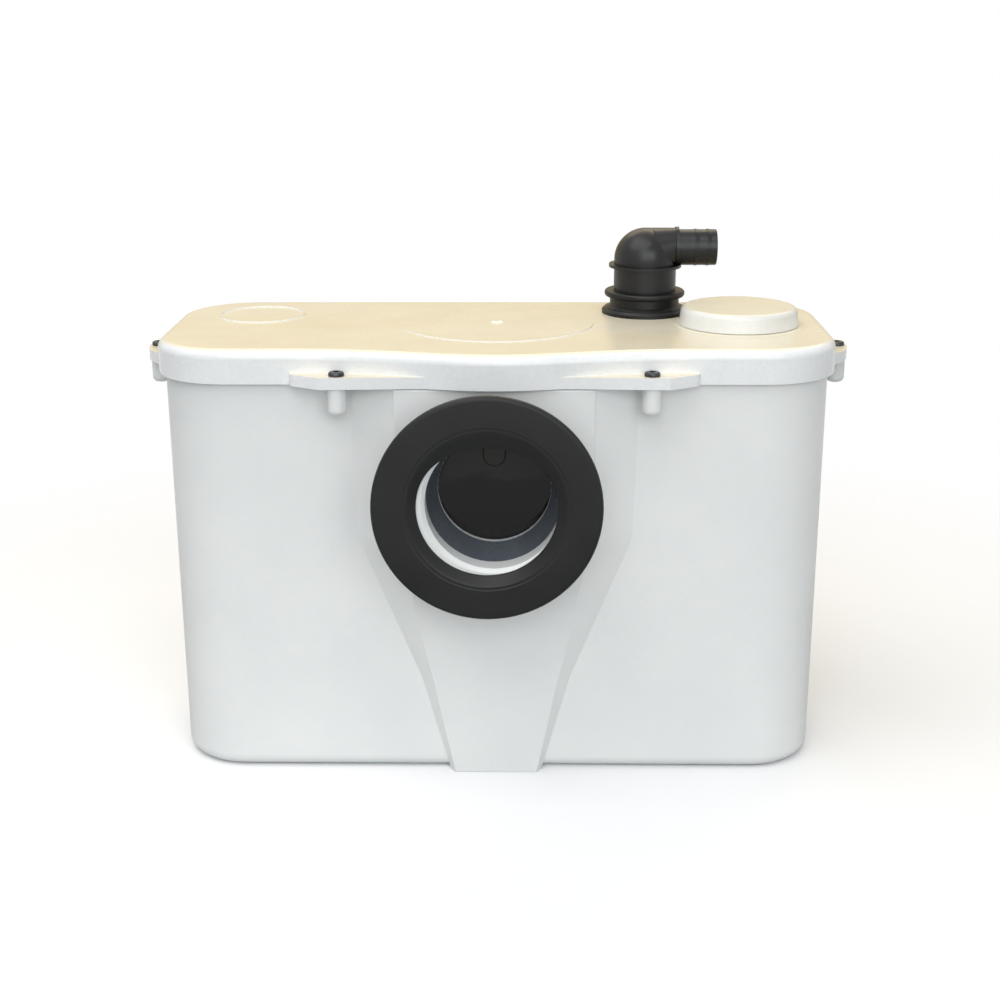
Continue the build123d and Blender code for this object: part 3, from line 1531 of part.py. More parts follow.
def make_terminal_block():
    """A row of ways with a screw well and a wire hole each."""
    block = Box(
        terminal_length, terminal_width, terminal_height, align=(Align.CENTER, Align.CENTER, Align.MIN)
    )
    pitch = terminal_length / terminal_ways
    for place in GridLocations(pitch, terminal_width, terminal_ways, 1):
        well = Cylinder(terminal_screw_radius, terminal_height)
        block = block - Pos(0, 0, terminal_height) * place * well
        way = Cylinder(terminal_screw_radius * 2 / 3, 2 * terminal_width, rotation=(90, 0, 0))
        block = block - Pos(0, 0, terminal_height / 4) * place * way
    return terminal_place() * block


def make_terminal_screws():
    pitch = terminal_length / terminal_ways
    screw = Cylinder(
        terminal_screw_radius - running_gap, terminal_height / 4,
        align=(Align.CENTER, Align.CENTER, Align.MIN),
    )
    screws = []
    for place in GridLocations(pitch, terminal_width, terminal_ways, 1):
        screws.append(terminal_place() * Pos(0, 0, terminal_height / 2) * place * screw)
    return Compound(children=screws)


def gland_body(points):
    """A piece of the cable gland, turned about Y from (radius, distance from the wall)."""
    return Pos(gland_x, tank_back_y, gland_z) * turned_y(points)


def make_cable_gland():
    thread_end = -tank_wall - moving_gap - gland_nut
    body = gland_body([
        (gland_bore_radius, thread_end),
        (gland_radius, thread_end),
        (gland_radius, 0),
        (gland_flange_radius, 0),
        (gland_flange_radius, gland_flange - wall_merge),
        (gland_flange_radius - wall_merge, gland_flange),
        (gland_nose_radius + wall_merge, gland_flange),
        (gland_nose_radius, gland_flange + gland_nose),
        (gland_bore_radius, gland_flange + gland_nose),
    ])
    return body


def make_gland_nut():
    flats = RegularPolygon(gland_flange_radius, 6) - Circle(gland_radius)
    seat = tank_back_y - tank_wall - moving_gap
    place = Plane(origin=(gland_x, seat, gland_z), x_dir=(1, 0, 0), z_dir=(0, -1, 0))
    return extrude(place * flats, gland_nut)


makers = {
    "tank": make_tank,
    "lid": make_lid,
    "lid_seal": make_lid_seal,
    "seat_funnel": make_seat_funnel,
    "lid_screws": make_lid_screws,
    "inlet_collar": make_inlet_collar,
    "inlet_flap": make_inlet_flap,
    "flap_tab": make_flap_tab,
    "flap_pin": make_flap_pin,
    "discharge_cup": make_discharge_cup,
    "discharge_elbow": make_discharge_elbow,
    "vent_cap": make_vent_cap,
    "cap_seal": make_cap_seal,
    "carbon_filter": make_carbon_filter,
    "motor_housing": make_motor_housing,
    "motor_end_cover": make_motor_end_cover,
    "cover_screws": make_cover_screws,
    "motor_pads": make_motor_pads,
    "stator": make_stator,
    "windings": make_windings,
    "rotor": make_rotor,
    "shaft": make_shaft,
    "bearings": make_bearings,
    "shaft_seal": make_shaft_seal,
    "motor_gasket": make_motor_gasket,
    "volute": make_volute,
    "pump_cover": make_pump_cover,
    "pump_screws": make_pump_screws,
    "impeller": make_impeller,
    "cutter": make_cutter,
    "cutter_nut": make_cutter_nut,
    "cutter_basket": make_cutter_basket,
    "valve_body": make_valve_body,
    "valve_pin": make_valve_pin,
    "valve_flap": make_valve_flap,
    "discharge_pipe": make_discharge_pipe,
    "pressure_bell": make_pressure_bell,
    "switch_membrane": make_membrane,
    "switch_cover": make_switch_cover,
    "switch_plunger": make_plunger,
    "switch_spring": make_spring,
    "microswitch": make_microswitch,
    "switch_button": make_button,
    "control_box": make_control_box,
    "capacitor": make_capacitor,
    "terminal_block": make_terminal_block,
    "terminal_screws": make_terminal_screws,
    "cable_gland": make_cable_gland,
    "gland_nut": make_gland_nut,
}

os.makedirs("parts", exist_ok=True)
for node, maker in makers.items():
    export_step(maker(), "parts/" + node + ".step")
print(len(makers), "pieces written")
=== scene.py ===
"""Looks of the macerator toilet pump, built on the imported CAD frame.

Every size is in metres unless its name ends in _mm, in the frame of the CAD:
+Z up, the pan inlet faces -Y, +X to the right, origin under the tank's middle.
"""
import json
import logging
import math
from dataclasses import dataclass, field
from enum import Enum
from typing import Iterable, Sequence

import bmesh
import bpy
from mathutils import Matrix, Vector

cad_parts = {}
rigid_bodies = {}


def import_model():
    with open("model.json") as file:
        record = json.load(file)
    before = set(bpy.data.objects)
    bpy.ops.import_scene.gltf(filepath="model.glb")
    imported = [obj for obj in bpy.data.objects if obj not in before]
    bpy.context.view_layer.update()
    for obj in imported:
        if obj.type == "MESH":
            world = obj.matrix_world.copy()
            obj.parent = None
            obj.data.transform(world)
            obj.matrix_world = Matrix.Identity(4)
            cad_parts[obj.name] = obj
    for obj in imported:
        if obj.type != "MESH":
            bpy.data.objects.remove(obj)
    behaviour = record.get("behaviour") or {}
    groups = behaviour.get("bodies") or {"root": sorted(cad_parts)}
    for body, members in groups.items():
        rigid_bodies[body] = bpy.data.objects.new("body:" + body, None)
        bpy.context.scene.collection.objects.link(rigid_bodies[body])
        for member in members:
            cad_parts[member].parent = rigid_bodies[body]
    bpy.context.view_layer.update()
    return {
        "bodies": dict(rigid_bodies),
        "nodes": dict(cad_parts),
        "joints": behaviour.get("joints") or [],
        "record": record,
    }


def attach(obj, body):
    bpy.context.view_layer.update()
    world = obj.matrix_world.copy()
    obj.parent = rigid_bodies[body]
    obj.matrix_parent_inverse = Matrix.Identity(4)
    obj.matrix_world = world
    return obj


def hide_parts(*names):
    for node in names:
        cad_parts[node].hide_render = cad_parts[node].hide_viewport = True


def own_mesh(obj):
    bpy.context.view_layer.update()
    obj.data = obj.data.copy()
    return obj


LOG = logging.getLogger("pump")
MM = 0.001
# How dark the fine pattern draws itself, and how deep light goes into white plastic
PATTERN_SHADE = 0.12
SCATTER_MM = 4.0
# The painted reflection on the flap, lighter above a ragged horizon line, has a line that wanders this far,
# in bays of about 7 mm, and fades over this height
HORIZON_WANDER_MM = 7
HORIZON_SCALE = 150.0
HORIZON_FADE_MM = 2.2
# Yellowed clouds are about 36 mm across
AGED_SCALE = 28.0
Point = tuple[float, float]


def linear(code: str) -> tuple[float, float, float, float]:
    """Turns an sRGB hex colour into linear RGBA.

    Args:
        code: Six hex digits after a hash sign.

    Returns:
        Linear red, green, blue and an alpha of 1.
    """
    parts = [int(code[i:i + 2], 16) / 255 for i in (1, 3, 5)]
    r, g, b = (c / 12.92 if c <= 0.04045 else ((c + 0.055) / 1.055) ** 2.4 for c in parts)
    return r, g, b, 1.0


class Process(Enum):
    """How a material was made, which decides the pattern that its nodes draw."""

    MOULDED = "moulded"
    RUBBER = "rubber"
    TURNED = "turned"
    CAST = "cast"
    STACKED = "stacked"
    WOUND = "wound"
    GRANULAR = "granular"


@dataclass(frozen=True)
class Finish:
    """One material's numbers.

    Args:
        name: The real material and the process that made it.
        base: Main colour, sRGB hex.
        tone: Colour that the base drifts towards, sRGB hex.
        process: The pattern to draw.
        roughness: Mean roughness.
        spread: How far roughness moves each way.
        metallic: 0 or 1.
        ior: Index of refraction, left alone on a metal.
        coat: Clear gloss over the surface.
        grain_mm: Size of the fine relief.
        relief_mm: Depth of the fine relief.
        drift_mm: Size of the slow colour and gloss change.
        subsurface: Share of light that the body scatters.
        specular: Strength of the clear reflection, 0.5 for a plain dielectric.
        aged: Colour that faces looking straight up have yellowed to, or none.
        painted_horizon_mm: Height of the ragged horizon line of a painted reflection, above which the lighter
            tone colour shows, or none.
    """

    name: str
    base: str
    tone: str
    process: Process = Process.MOULDED
    roughness: float = 0.35
    spread: float = 0.06
    metallic: float = 0.0
    ior: float = 1.5
    coat: float = 0.0
    grain_mm: float = 0.8
    relief_mm: float = 0.01
    drift_mm: float = 60.0
    subsurface: float = 0.0
    specular: float = 0.5
    aged: str = ""
    painted_horizon_mm: float = 0.0


# Polypropylene, cool white: a satin skin with faint flow clouds from the gate
TANK_WHITE = Finish("polypropylene_injection_moulded", "#F3F4F2", "#EAECEB", roughness=0.34, spread=0.08,
                    grain_mm=0.5, relief_mm=0.006, drift_mm=90, subsurface=0.04)
# ABS, cool white: glossier than the tank, and yellowed to cream where it faces up
LID_WHITE = Finish("abs_injection_moulded", "#F8F9F9", "#F1F3F3", roughness=0.22, spread=0.07,
                   grain_mm=2.5, relief_mm=0.01, drift_mm=45, subsurface=0.03, aged="#EDE2C6")
CAP_WHITE = Finish("abs_moulded_cap", "#EEEEEA", "#E8E7E2", roughness=0.24, spread=0.05,
                   grain_mm=1.2, relief_mm=0.008, drift_mm=30, subsurface=0.03, aged="#EEE6CF")
# EPDM: black with a dusty bloom that lightens it in clouds
COLLAR_RUBBER = Finish("epdm_rubber_pressed", "#0A0A0B", "#121213", Process.RUBBER, roughness=0.44,
                       spread=0.1, ior=1.52, specular=0.3, grain_mm=0.7, relief_mm=0.02, drift_mm=35)
CUP_RUBBER = Finish("epdm_rubber_moulded_cup", "#0A0A0A", "#111111", Process.RUBBER, roughness=0.4,
                    spread=0.1, ior=1.52, specular=0.3, grain_mm=0.5, relief_mm=0.015, drift_mm=18)
SEAL_RUBBER = Finish("nitrile_rubber_cut", "#1B1B1B", "#262626", Process.RUBBER, roughness=0.62)
# Black flap: its lighter tone and changed gloss above a ragged line at 192 mm are a painted reflection of the
# horizon
FLAP_BLACK = Finish("polished_polyamide_flap", "#050404", "#1F201D", roughness=0.16, spread=0.1,
                    ior=1.53, specular=0.24, grain_mm=9, relief_mm=0.05, drift_mm=18, painted_horizon_mm=192)
TAB_OLIVE = Finish("olive_polyamide_tab", "#14140F", "#1B1B14", roughness=0.34, drift_mm=10, specular=0.3)
# The funnel ring is the tank's white moulding, coloured mid grey as painted shade deep in the mouth, with the
# dark reflection of the black flap painted in too; its satin face catches light low in the mouth
FUNNEL_PAINTED_SHADE = Finish("white_polypropylene_painted_shade", "#5E646B", "#52575E", roughness=0.3, spread=0.08,
                     specular=0.3, grain_mm=0.6, relief_mm=0.01, drift_mm=20)
# Glass-filled polyamide: fine fibre speckle under a dull sheen
ELBOW_BLACK = Finish("glass_filled_polyamide", "#0C0C0D", "#141415", roughness=0.36, spread=0.1,
                     ior=1.53, specular=0.35, grain_mm=0.35, relief_mm=0.02, drift_mm=14)
SCREW_STEEL = Finish("blackened_steel_screw", "#3E3F42", "#55565A", Process.TURNED, roughness=0.36,
                     metallic=1, grain_mm=0.3, relief_mm=0.01, drift_mm=3)
PIN_STEEL = Finish("ground_stainless_steel", "#A9ABAE", "#C0C1C3", Process.TURNED, roughness=0.24,
                   metallic=1, grain_mm=0.25, relief_mm=0.004, drift_mm=10)
CUTTER_STEEL = Finish("pressed_stainless_blade", "#9A9C9F", "#B5B7B9", Process.TURNED, roughness=0.34,
                      metallic=1, grain_mm=0.4, relief_mm=0.01, drift_mm=12)
SPRING_STEEL = Finish("drawn_spring_wire", "#8E9093", "#A8AAAC", Process.TURNED, roughness=0.28,
                      metallic=1, grain_mm=0.3, relief_mm=0.004, drift_mm=4)
LAMINATIONS = Finish("stacked_silicon_steel", "#5B5C60", "#7A7B7F", Process.STACKED, roughness=0.42,
                     metallic=1, grain_mm=0.7, relief_mm=0.05, drift_mm=20)
COPPER = Finish("enamelled_copper_winding", "#B5622F", "#D08A4E", Process.WOUND, roughness=0.26,
                metallic=1, coat=0.6, grain_mm=1.1, relief_mm=0.25, drift_mm=14)
ALUMINIUM = Finish("die_cast_aluminium", "#A4A6A9", "#B9BBBD", Process.CAST, roughness=0.45,
                   spread=0.12, metallic=1, grain_mm=0.9, relief_mm=0.04, drift_mm=25)
PUMP_GREY = Finish("talc_filled_polypropylene", "#4A4B4E", "#565759", roughness=0.5, grain_mm=0.6,
                   relief_mm=0.02, drift_mm=30)
BASKET_GREY = Finish("moulded_acetal_basket", "#6A6C70", "#787A7E", roughness=0.42, drift_mm=22)
SWITCH_GREY = Finish("moulded_pbt_switch", "#3B3D42", "#494B50", roughness=0.44, drift_mm=15)
BUTTON_RED = Finish("red_acetal_button", "#B3271E", "#C33A2C", roughness=0.3, drift_mm=3)
BOX_GREY = Finish("grey_abs_box", "#8C8F92", "#9A9DA0", roughness=0.46, drift_mm=30)
CAN_SHELL = Finish("drawn_capacitor_can", "#C3C5C7", "#D4D5D7", Process.TURNED, roughness=0.3,
                   metallic=1, grain_mm=0.4, relief_mm=0.006, drift_mm=20)
TERMINAL = Finish("melamine_terminal_block", "#E6E1D2", "#D9D3C1", roughness=0.4, drift_mm=8)
GLAND_BLACK = Finish("polyamide_cable_gland", "#1C1C1E", "#28282A", roughness=0.42, drift_mm=8)
CARBON = Finish("activated_carbon_felt", "#161616", "#2B2B2B", Process.GRANULAR, roughness=0.85,
                grain_mm=1.4, relief_mm=0.4, drift_mm=6)

SLOT_FINISH: dict[str, Finish] = {
    "tank_plastic": TANK_WHITE, "lid_plastic": LID_WHITE, "cap_plastic": CAP_WHITE,
    "collar_rubber": COLLAR_RUBBER, "cup_rubber": CUP_RUBBER, "seal_rubber": SEAL_RUBBER,
    "flap_plastic": FLAP_BLACK, "tab_plastic": TAB_OLIVE, "elbow_plastic": ELBOW_BLACK,
    "screw_steel": SCREW_STEEL, "pin_steel": PIN_STEEL, "cutter_steel": CUTTER_STEEL,
    "spring_steel": SPRING_STEEL, "laminated_steel": LAMINATIONS, "copper_wire": COPPER,
    "motor_aluminium": ALUMINIUM, "pump_plastic": PUMP_GREY, "basket_plastic": BASKET_GREY,
    "switch_plastic": SWITCH_GREY, "button_plastic": BUTTON_RED, "box_plastic": BOX_GREY,
    "capacitor_shell": CAN_SHELL, "terminal_plastic": TERMINAL, "gland_plastic": GLAND_BLACK,
    "filter_carbon": CARBON, "funnel_plastic": FUNNEL_PAINTED_SHADE,
}


def add_node(tree: bpy.types.NodeTree, kind: str, **values) -> bpy.types.Node:
    """Adds a node and sets it up.

    Args:
        tree: The tree that gets the node.
        kind: The node's type name.
        values: A property to set, or an input whose spaces are written as underscores.

    Returns:
        The new node. A value that is a socket is linked to that input.
    """
    node = tree.nodes.new(kind)
    for key, value in values.items():
        if hasattr(node, key):
            setattr(node, key, value)
            continue
        socket = node.inputs[int(key[1:])] if key[1:].isdigit() else node.inputs[key.replace("_", " ")]
        if isinstance(value, bpy.types.NodeSocket):
            tree.links.new(value, socket)
        else:
            socket.default_value = value
    return node


def node_material(name: str) -> tuple[bpy.types.Material, bpy.types.NodeTree]:
    """Makes a material whose tree is empty.

    Args:
        name: The material's name.

    Returns:
        The material and its tree.
    """
    material = bpy.data.materials.new(name)
    material.use_nodes = True
    material.node_tree.nodes.clear()
    return material, material.node_tree


@dataclass
class MaterialShop:
    """Builds each finish once and hands it out.

    Args:
        made: The materials built so far, by name.
    """

    made: dict[str, bpy.types.Material] = field(default_factory=dict)

    def get(self, finish: Finish) -> bpy.types.Material:
        """Returns the material of a finish, built on first use.

        Args:
            finish: The numbers to build from.

        Returns:
            The node material.
        """
        if finish.name not in self.made:
            self.made[finish.name] = self._build(finish)
        return self.made[finish.name]

    def _build(self, finish: Finish) -> bpy.types.Material:
        """Builds a finish's nodes: slow drift, fine pattern, colour, gloss and relief.

        Args:
            finish: The numbers to build from.

        Returns:
            The node material.
        """
        material, tree = node_material(finish.name)
        place = add_node(tree, "ShaderNodeTexCoord").outputs["Object"]
        drift = add_node(tree, "ShaderNodeTexNoise", Vector=place, Scale=1 / (finish.drift_mm * MM),
                         Detail=4.0, Roughness=0.55)
        pattern = self._pattern(tree, finish, place)
        share = self._share(tree, finish, place, drift.outputs["Fac"])
        colour = add_node(tree, "ShaderNodeMix", data_type="RGBA", Factor=share.outputs["Result"],
                          i6=linear(finish.base), i7=linear(finish.tone))
        fine = add_node(tree, "ShaderNodeMix", data_type="RGBA", blend_type="MULTIPLY",
                        Factor=PATTERN_SHADE, i6=self._aged(tree, finish, place, colour.outputs[2]),
                        i7=pattern)
        gloss = share.outputs["Result"] if finish.painted_horizon_mm else drift.outputs["Fac"]
        rough = add_node(tree, "ShaderNodeMapRange", Value=gloss, From_Min=0.25, From_Max=0.75,
                         To_Min=max(0.02, finish.roughness - finish.spread),
                         To_Max=finish.roughness + finish.spread)
        bump = add_node(tree, "ShaderNodeBump", Strength=1.0, Distance=finish.relief_mm * MM, Height=pattern)
        shader = add_node(tree, "ShaderNodeBsdfPrincipled", Roughness=rough.outputs["Result"],
                          Metallic=finish.metallic, Normal=bump.outputs["Normal"],
                          Base_Color=fine.outputs[2])
        if finish.metallic < 0.5:
            shader.inputs["IOR"].default_value = finish.ior
            shader.inputs["Specular IOR Level"].default_value = finish.specular
        if finish.coat:
            shader.inputs["Coat Weight"].default_value = finish.coat
            shader.inputs["Coat Roughness"].default_value = finish.roughness / 2
        if finish.subsurface:
            shader.inputs["Subsurface Weight"].default_value = finish.subsurface
            shader.inputs["Subsurface Scale"].default_value = SCATTER_MM * MM
        add_node(tree, "ShaderNodeOutputMaterial", Surface=shader.outputs["BSDF"])
        return material

    def _share(self, tree: bpy.types.NodeTree, finish: Finish, place: bpy.types.NodeSocket,
               drift: bpy.types.NodeSocket) -> bpy.types.Node:
        """How much of the tone colour shows: slow clouds, or all above a ragged line, where the lighter tone
        is a painted reflection of the horizon.

        Args:
            tree: The material's tree.
            finish: The numbers to build from.
            place: Object coordinates.
            drift: The slow noise.

        Returns:
            A node whose Result is that share.
        """
        if not finish.painted_horizon_mm:
            return add_node(tree, "ShaderNodeMapRange", Value=drift, From_Min=0.3, From_Max=0.7)
        # Painted reflection: the lighter tone shows above a ragged horizon line on the flap
        height = add_node(tree, "ShaderNodeSeparateXYZ", Vector=place).outputs["Z"]
        wide = add_node(tree, "ShaderNodeMapping", Vector=place, Scale=(0.35, 1.0, 1.0))
        ragged = add_node(tree, "ShaderNodeTexNoise", Vector=wide.outputs["Vector"], Scale=HORIZON_SCALE,
                          Detail=5.0)
        swing = add_node(tree, "ShaderNodeMapRange", Value=ragged.outputs["Fac"],
                         To_Min=-HORIZON_WANDER_MM * MM, To_Max=HORIZON_WANDER_MM * MM)
        level = add_node(tree, "ShaderNodeMath", operation="ADD", i0=height, i1=swing.outputs["Result"])
        return add_node(tree, "ShaderNodeMapRange", interpolation_type="SMOOTHSTEP",
                        Value=level.outputs["Value"], From_Min=(finish.painted_horizon_mm - HORIZON_FADE_MM) * MM,
                        From_Max=(finish.painted_horizon_mm + HORIZON_FADE_MM) * MM)

    def _aged(self, tree: bpy.types.NodeTree, finish: Finish, place: bpy.types.NodeSocket,
              colour: bpy.types.NodeSocket) -> bpy.types.NodeSocket:
        """Yellows the faces that look up, in faint clouds along the moulding's flow.

        Args:
            tree: The material's tree.
            finish: The numbers to build from.
            place: Object coordinates.
            colour: The colour of the fresh plastic.

        Returns:
            The colour with its age.
        """
        if not finish.aged:
            return colour
        facing = add_node(tree, "ShaderNodeTexCoord").outputs["Normal"]
        up = add_node(tree, "ShaderNodeSeparateXYZ", Vector=facing).outputs["Z"]
        flat = add_node(tree, "ShaderNodeMapRange", interpolation_type="SMOOTHSTEP", Value=up,
                        From_Min=0.75, From_Max=1.0)
        flow = add_node(tree, "ShaderNodeMapping", Vector=place, Scale=(0.3, 1.0, 1.0))
        streak = add_node(tree, "ShaderNodeTexNoise", Vector=flow.outputs["Vector"], Scale=AGED_SCALE,
                          Detail=2.0)
        depth = add_node(tree, "ShaderNodeMapRange", Value=streak.outputs["Fac"], From_Min=0.3, From_Max=0.7,
                         To_Min=0.82, To_Max=1.0)
        both = add_node(tree, "ShaderNodeMath", operation="MULTIPLY", i0=flat.outputs["Result"],
                        i1=depth.outputs["Result"])
        mix = add_node(tree, "ShaderNodeMix", data_type="RGBA", Factor=both.outputs["Value"], i6=colour,
                       i7=linear(finish.aged))
        return mix.outputs[2]

    def _pattern(self, tree: bpy.types.NodeTree, finish: Finish,
                 place: bpy.types.NodeSocket) -> bpy.types.NodeSocket:
        """The fine relief: what it is depends on the process.

        Args:
            tree: The material's tree.
            finish: The numbers to build from.
            place: Object coordinates.

        Returns:
            The pattern's height.
        """
        scale = 1 / (finish.grain_mm * MM)
        if finish.process in (Process.STACKED, Process.TURNED):
            stretch = (1.0, 0.03, 0.03) if finish.process is Process.STACKED else (0.25, 1.0, 1.0)
            mapped = add_node(tree, "ShaderNodeMapping", Vector=place, Scale=stretch)
            return add_node(tree, "ShaderNodeTexNoise", Vector=mapped.outputs["Vector"], Scale=scale,
                            Detail=2.0).outputs["Fac"]
        if finish.process is Process.WOUND:
            return add_node(tree, "ShaderNodeTexWave", Vector=place, bands_direction="Z",
                            Scale=scale / 6, Distortion=1.5, Detail=1.0).outputs["Fac"]
        if finish.process is Process.GRANULAR:
            return add_node(tree, "ShaderNodeTexVoronoi", Vector=place, Scale=scale).outputs["Distance"]
        if finish.process is Process.CAST:
            return add_node(tree, "ShaderNodeTexNoise", Vector=place, Scale=scale, Detail=6.0,
                            Roughness=0.7).outputs["Fac"]
        noise = add_node(tree, "ShaderNodeTexNoise", Vector=place, Scale=scale, Detail=3.0)
        if finish.process is Process.RUBBER:
            specks = add_node(tree, "ShaderNodeTexVoronoi", Vector=place, Scale=scale / 3)
            both = add_node(tree, "ShaderNodeMath", operation="MULTIPLY_ADD", i0=noise.outputs["Fac"], i1=0.8,
                            i2=specks.outputs["Distance"])
            return both.outputs["Value"]
        return noise.outputs["Fac"]


def mesh_object(name: str, build: bmesh.types.BMesh, sharp_deg: float = 32.0) -> bpy.types.Object:
    """Turns a bmesh into a smooth-shaded object with sharp creases.

    Args:
        name: The piece's name.
        build: The finished bmesh, freed here.
        sharp_deg: Edges steeper than this stay sharp.

    Returns:
        The linked object, at the origin.
    """
    bmesh.ops.remove_doubles(build, verts=build.verts, dist=1e-7)
    bmesh.ops.recalc_face_normals(build, faces=build.faces)
    mesh = bpy.data.meshes.new(name)
    build.to_mesh(mesh)
    build.free()
    mesh.shade_smooth()
    mesh.set_sharp_from_angle(angle=math.radians(sharp_deg))
    piece = bpy.data.objects.new(name, mesh)
    bpy.context.collection.objects.link(piece)
    return piece


def rounded(points: Sequence[tuple[float, float, float]], steps: int = 6) -> list[Point]:
    """Rounds the corners of an open outline.

    Args:
        points: (x, y, corner radius) triples.
        steps: Points along each rounded corner.

    Returns:
        The outline's points.
    """
    path: list[Point] = []
    for i, (x, y, radius) in enumerate(points):
        if radius <= 0 or i in (0, len(points) - 1):
            path.append((x, y))
            continue
        here = Vector((x, y))
        before = Vector(points[i - 1][:2]) - here
        after = Vector(points[i + 1][:2]) - here
        half = before.angle(after) / 2
        cut = min(radius / math.tan(half), before.length * 0.49, after.length * 0.49)
        start, end = here + before.normalized() * cut, here + after.normalized() * cut
        for step in range(steps + 1):
            t = step / steps
            spot = (1 - t) ** 2 * start + 2 * t * (1 - t) * here + t ** 2 * end
            path.append((spot.x, spot.y))
    return path


def lathe(outline: Iterable[Point], turn: Matrix, segments: int = 160) -> bmesh.types.BMesh:
    """Turns an outline about its height axis.

    Args:
        outline: (radius, height) pairs in millimetres.
        turn: Places the turned body, whose axis starts along +Z.
        segments: Steps round the circle.

    Returns:
        A bmesh in metres.
    """
    build = bmesh.new()
    rings = []
    for radius, height in outline:
        if radius < 1e-6:
            rings.append([build.verts.new((0, 0, height * MM))])
            continue
        rings.append([
            build.verts.new((radius * MM * math.cos(2 * math.pi * i / segments),
                             radius * MM * math.sin(2 * math.pi * i / segments), height * MM))
            for i in range(segments)])
    for low, high in zip(rings, rings[1:]):
        for i in range(segments):
            j = (i + 1) % segments
            corners = [low[i % len(low)], low[j % len(low)], high[j % len(high)], high[i % len(high)]]
            unique = list(dict.fromkeys(corners))
            if len(unique) > 2:
                build.faces.new(unique)
    build.transform(turn)
    return build


@dataclass
class Assembly:
    """A part of the pump that gets pieces, each with a body and a record slot.

    Args:
        shop: Where its materials come from.
        pieces: The pieces made so far.
    """

    shop: MaterialShop
    pieces: list[bpy.types.Object] = field(default_factory=list)

    def keep(self, piece: bpy.types.Object, body: str, slot: str, replaces: Sequence[str] = (),
             finish: Finish | None = None) -> bpy.types.Object:
        """Gives a piece its material, body and slot.

        Args:
            piece: The new object.
            body: The CAD body that it rides on.
            slot: The record's material slot.
            replaces: CAD nodes that it stands for.
            finish: A finish other than the slot's.

        Returns:
            The same object.
        """
        piece.data.materials.clear()
        piece.data.materials.append(self.shop.get(finish or SLOT_FINISH[slot]))
        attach(piece, body)
        if replaces:
            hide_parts(*replaces)
        self.pieces.append(piece)
        return piece

    def report(self) -> None:
        """Logs every piece of this sub-assembly."""
        for piece in self.pieces:
            LOG.info("%s: %s, %d faces", type(self).__name__, piece.name, len(piece.data.polygons))


@dataclass
class CadFinish(Assembly):
    """Carried-over CAD nodes, which keep their shape and get real materials."""

    def build(self, frame: dict) -> None:
        """Puts the finish of each node's slot on it.
        """
        slots = {row["node"]: row["material_slot"] for row in frame["record"]["subparts"]}
        for name, node in frame["nodes"].items():
            material = self.shop.get(SLOT_FINISH[slots[name]])
            if not node.data.materials:
                node.data.materials.append(material)
            for index in range(len(node.data.materials)):
                node.data.materials[index] = material
            self.pieces.append(node)


@dataclass
class InletMouth(Assembly):
    """The black rubber collar, whose thin lip laps over the end of the white spigot.

    Args:
        face_y_mm: Front face of the flange.
        root_y_mm: Inner end of the sleeve.
        back_y_mm: Back face of the flange, where the spigot ends.
        lip_radius_mm: Opening of the lip, round the bore's own axis.
        bevel_radius_mm: Where the bevel meets the front face.
        flange_radius_mm: Outer radius of the flange.
        sleeve_mm: Inner and outer radius of the sleeve.
        axis_mm: x and z of the bore.
        shift_mm: How far the flange sits off the bore's axis.
        edge_mm: Rounding of the flange's rim.
        ridge_mm: Height of the moulding ridges on the face.
        lip_mm: Thickness of the lip.
        ring_mm: Where the ring round the bevel ends, and where the face begins, out from the bevel.
        segments: Steps round the collar.
        hood_mm: How far the soft lip sags at the top of the opening.
    """

    face_y_mm: float = -128.0
    root_y_mm: float = -92.0
    back_y_mm: float = -122.05
    lip_radius_mm: float = 40.0
    bevel_radius_mm: float = 45.5
    flange_radius_mm: float = 65.3
    sleeve_mm: Point = (46.05, 51.0)
    axis_mm: Point = (0.0, 186.0)
    shift_mm: Point = (-3.5, -1.8)
    edge_mm: float = 2.6
    ridge_mm: float = 0.22
    lip_mm: float = 1.8
    ring_mm: Point = (1.5, 2.2)
    segments: int = 256
    hood_mm: float = 5.0

    def outline(self) -> list[tuple[float, float]]:
        """Half section of the collar.

        Returns:
            (radius, y) points, lip first.
        """
        face, back, root = self.face_y_mm, self.back_y_mm, self.root_y_mm
        rim, low, high = self.flange_radius_mm, *self.sleeve_mm
        ridge, bevel = self.ridge_mm, self.bevel_radius_mm
        corners = [
            (self.lip_radius_mm, back, 0.0), (self.lip_radius_mm, back - self.lip_mm, 0.5),
            (bevel - 4 * ridge, face + 3 * ridge, 0.3), (bevel, face + ridge, 0.2),
            (bevel + self.ring_mm[0], face + ridge, 0.2), (bevel + self.ring_mm[1], face, 0.3),
            (rim, face, self.edge_mm), (rim, back, self.edge_mm), (high, back, 1.5), (high, root, 0.8),
            (low, root, 0.3), (low, back, 0.0)]
        return rounded(corners)

    def build(self) -> None:
        """Turns the collar, whose soft flange sits off the bore's axis and sags at the top."""
        points = self.outline()
        x, z = (v * MM for v in self.axis_mm)
        turn = Matrix.Translation((x, 0, z)) @ Matrix.Rotation(math.radians(90), 4, "X")
        body = lathe([(r, -y) for r, y in points + points[:1]], turn, self.segments)
        for vert in body.verts:
            radius = math.hypot(vert.co.x - x, vert.co.z - z) / MM
            if vert.co.y > (self.back_y_mm + 0.5) * MM:
                continue
            inward = (self.bevel_radius_mm - radius) / (self.bevel_radius_mm - self.lip_radius_mm)
            upward = max(0.0, vert.co.z / MM - self.axis_mm[1]) / self.lip_radius_mm
            vert.co.x += self.shift_mm[0] * MM
            vert.co.z += (self.shift_mm[1] - self.hood_mm * max(0.0, inward) * upward ** 2) * MM
        self.keep(mesh_object("collar_moulding", body), "housing", "collar_rubber", ("inlet_collar",))


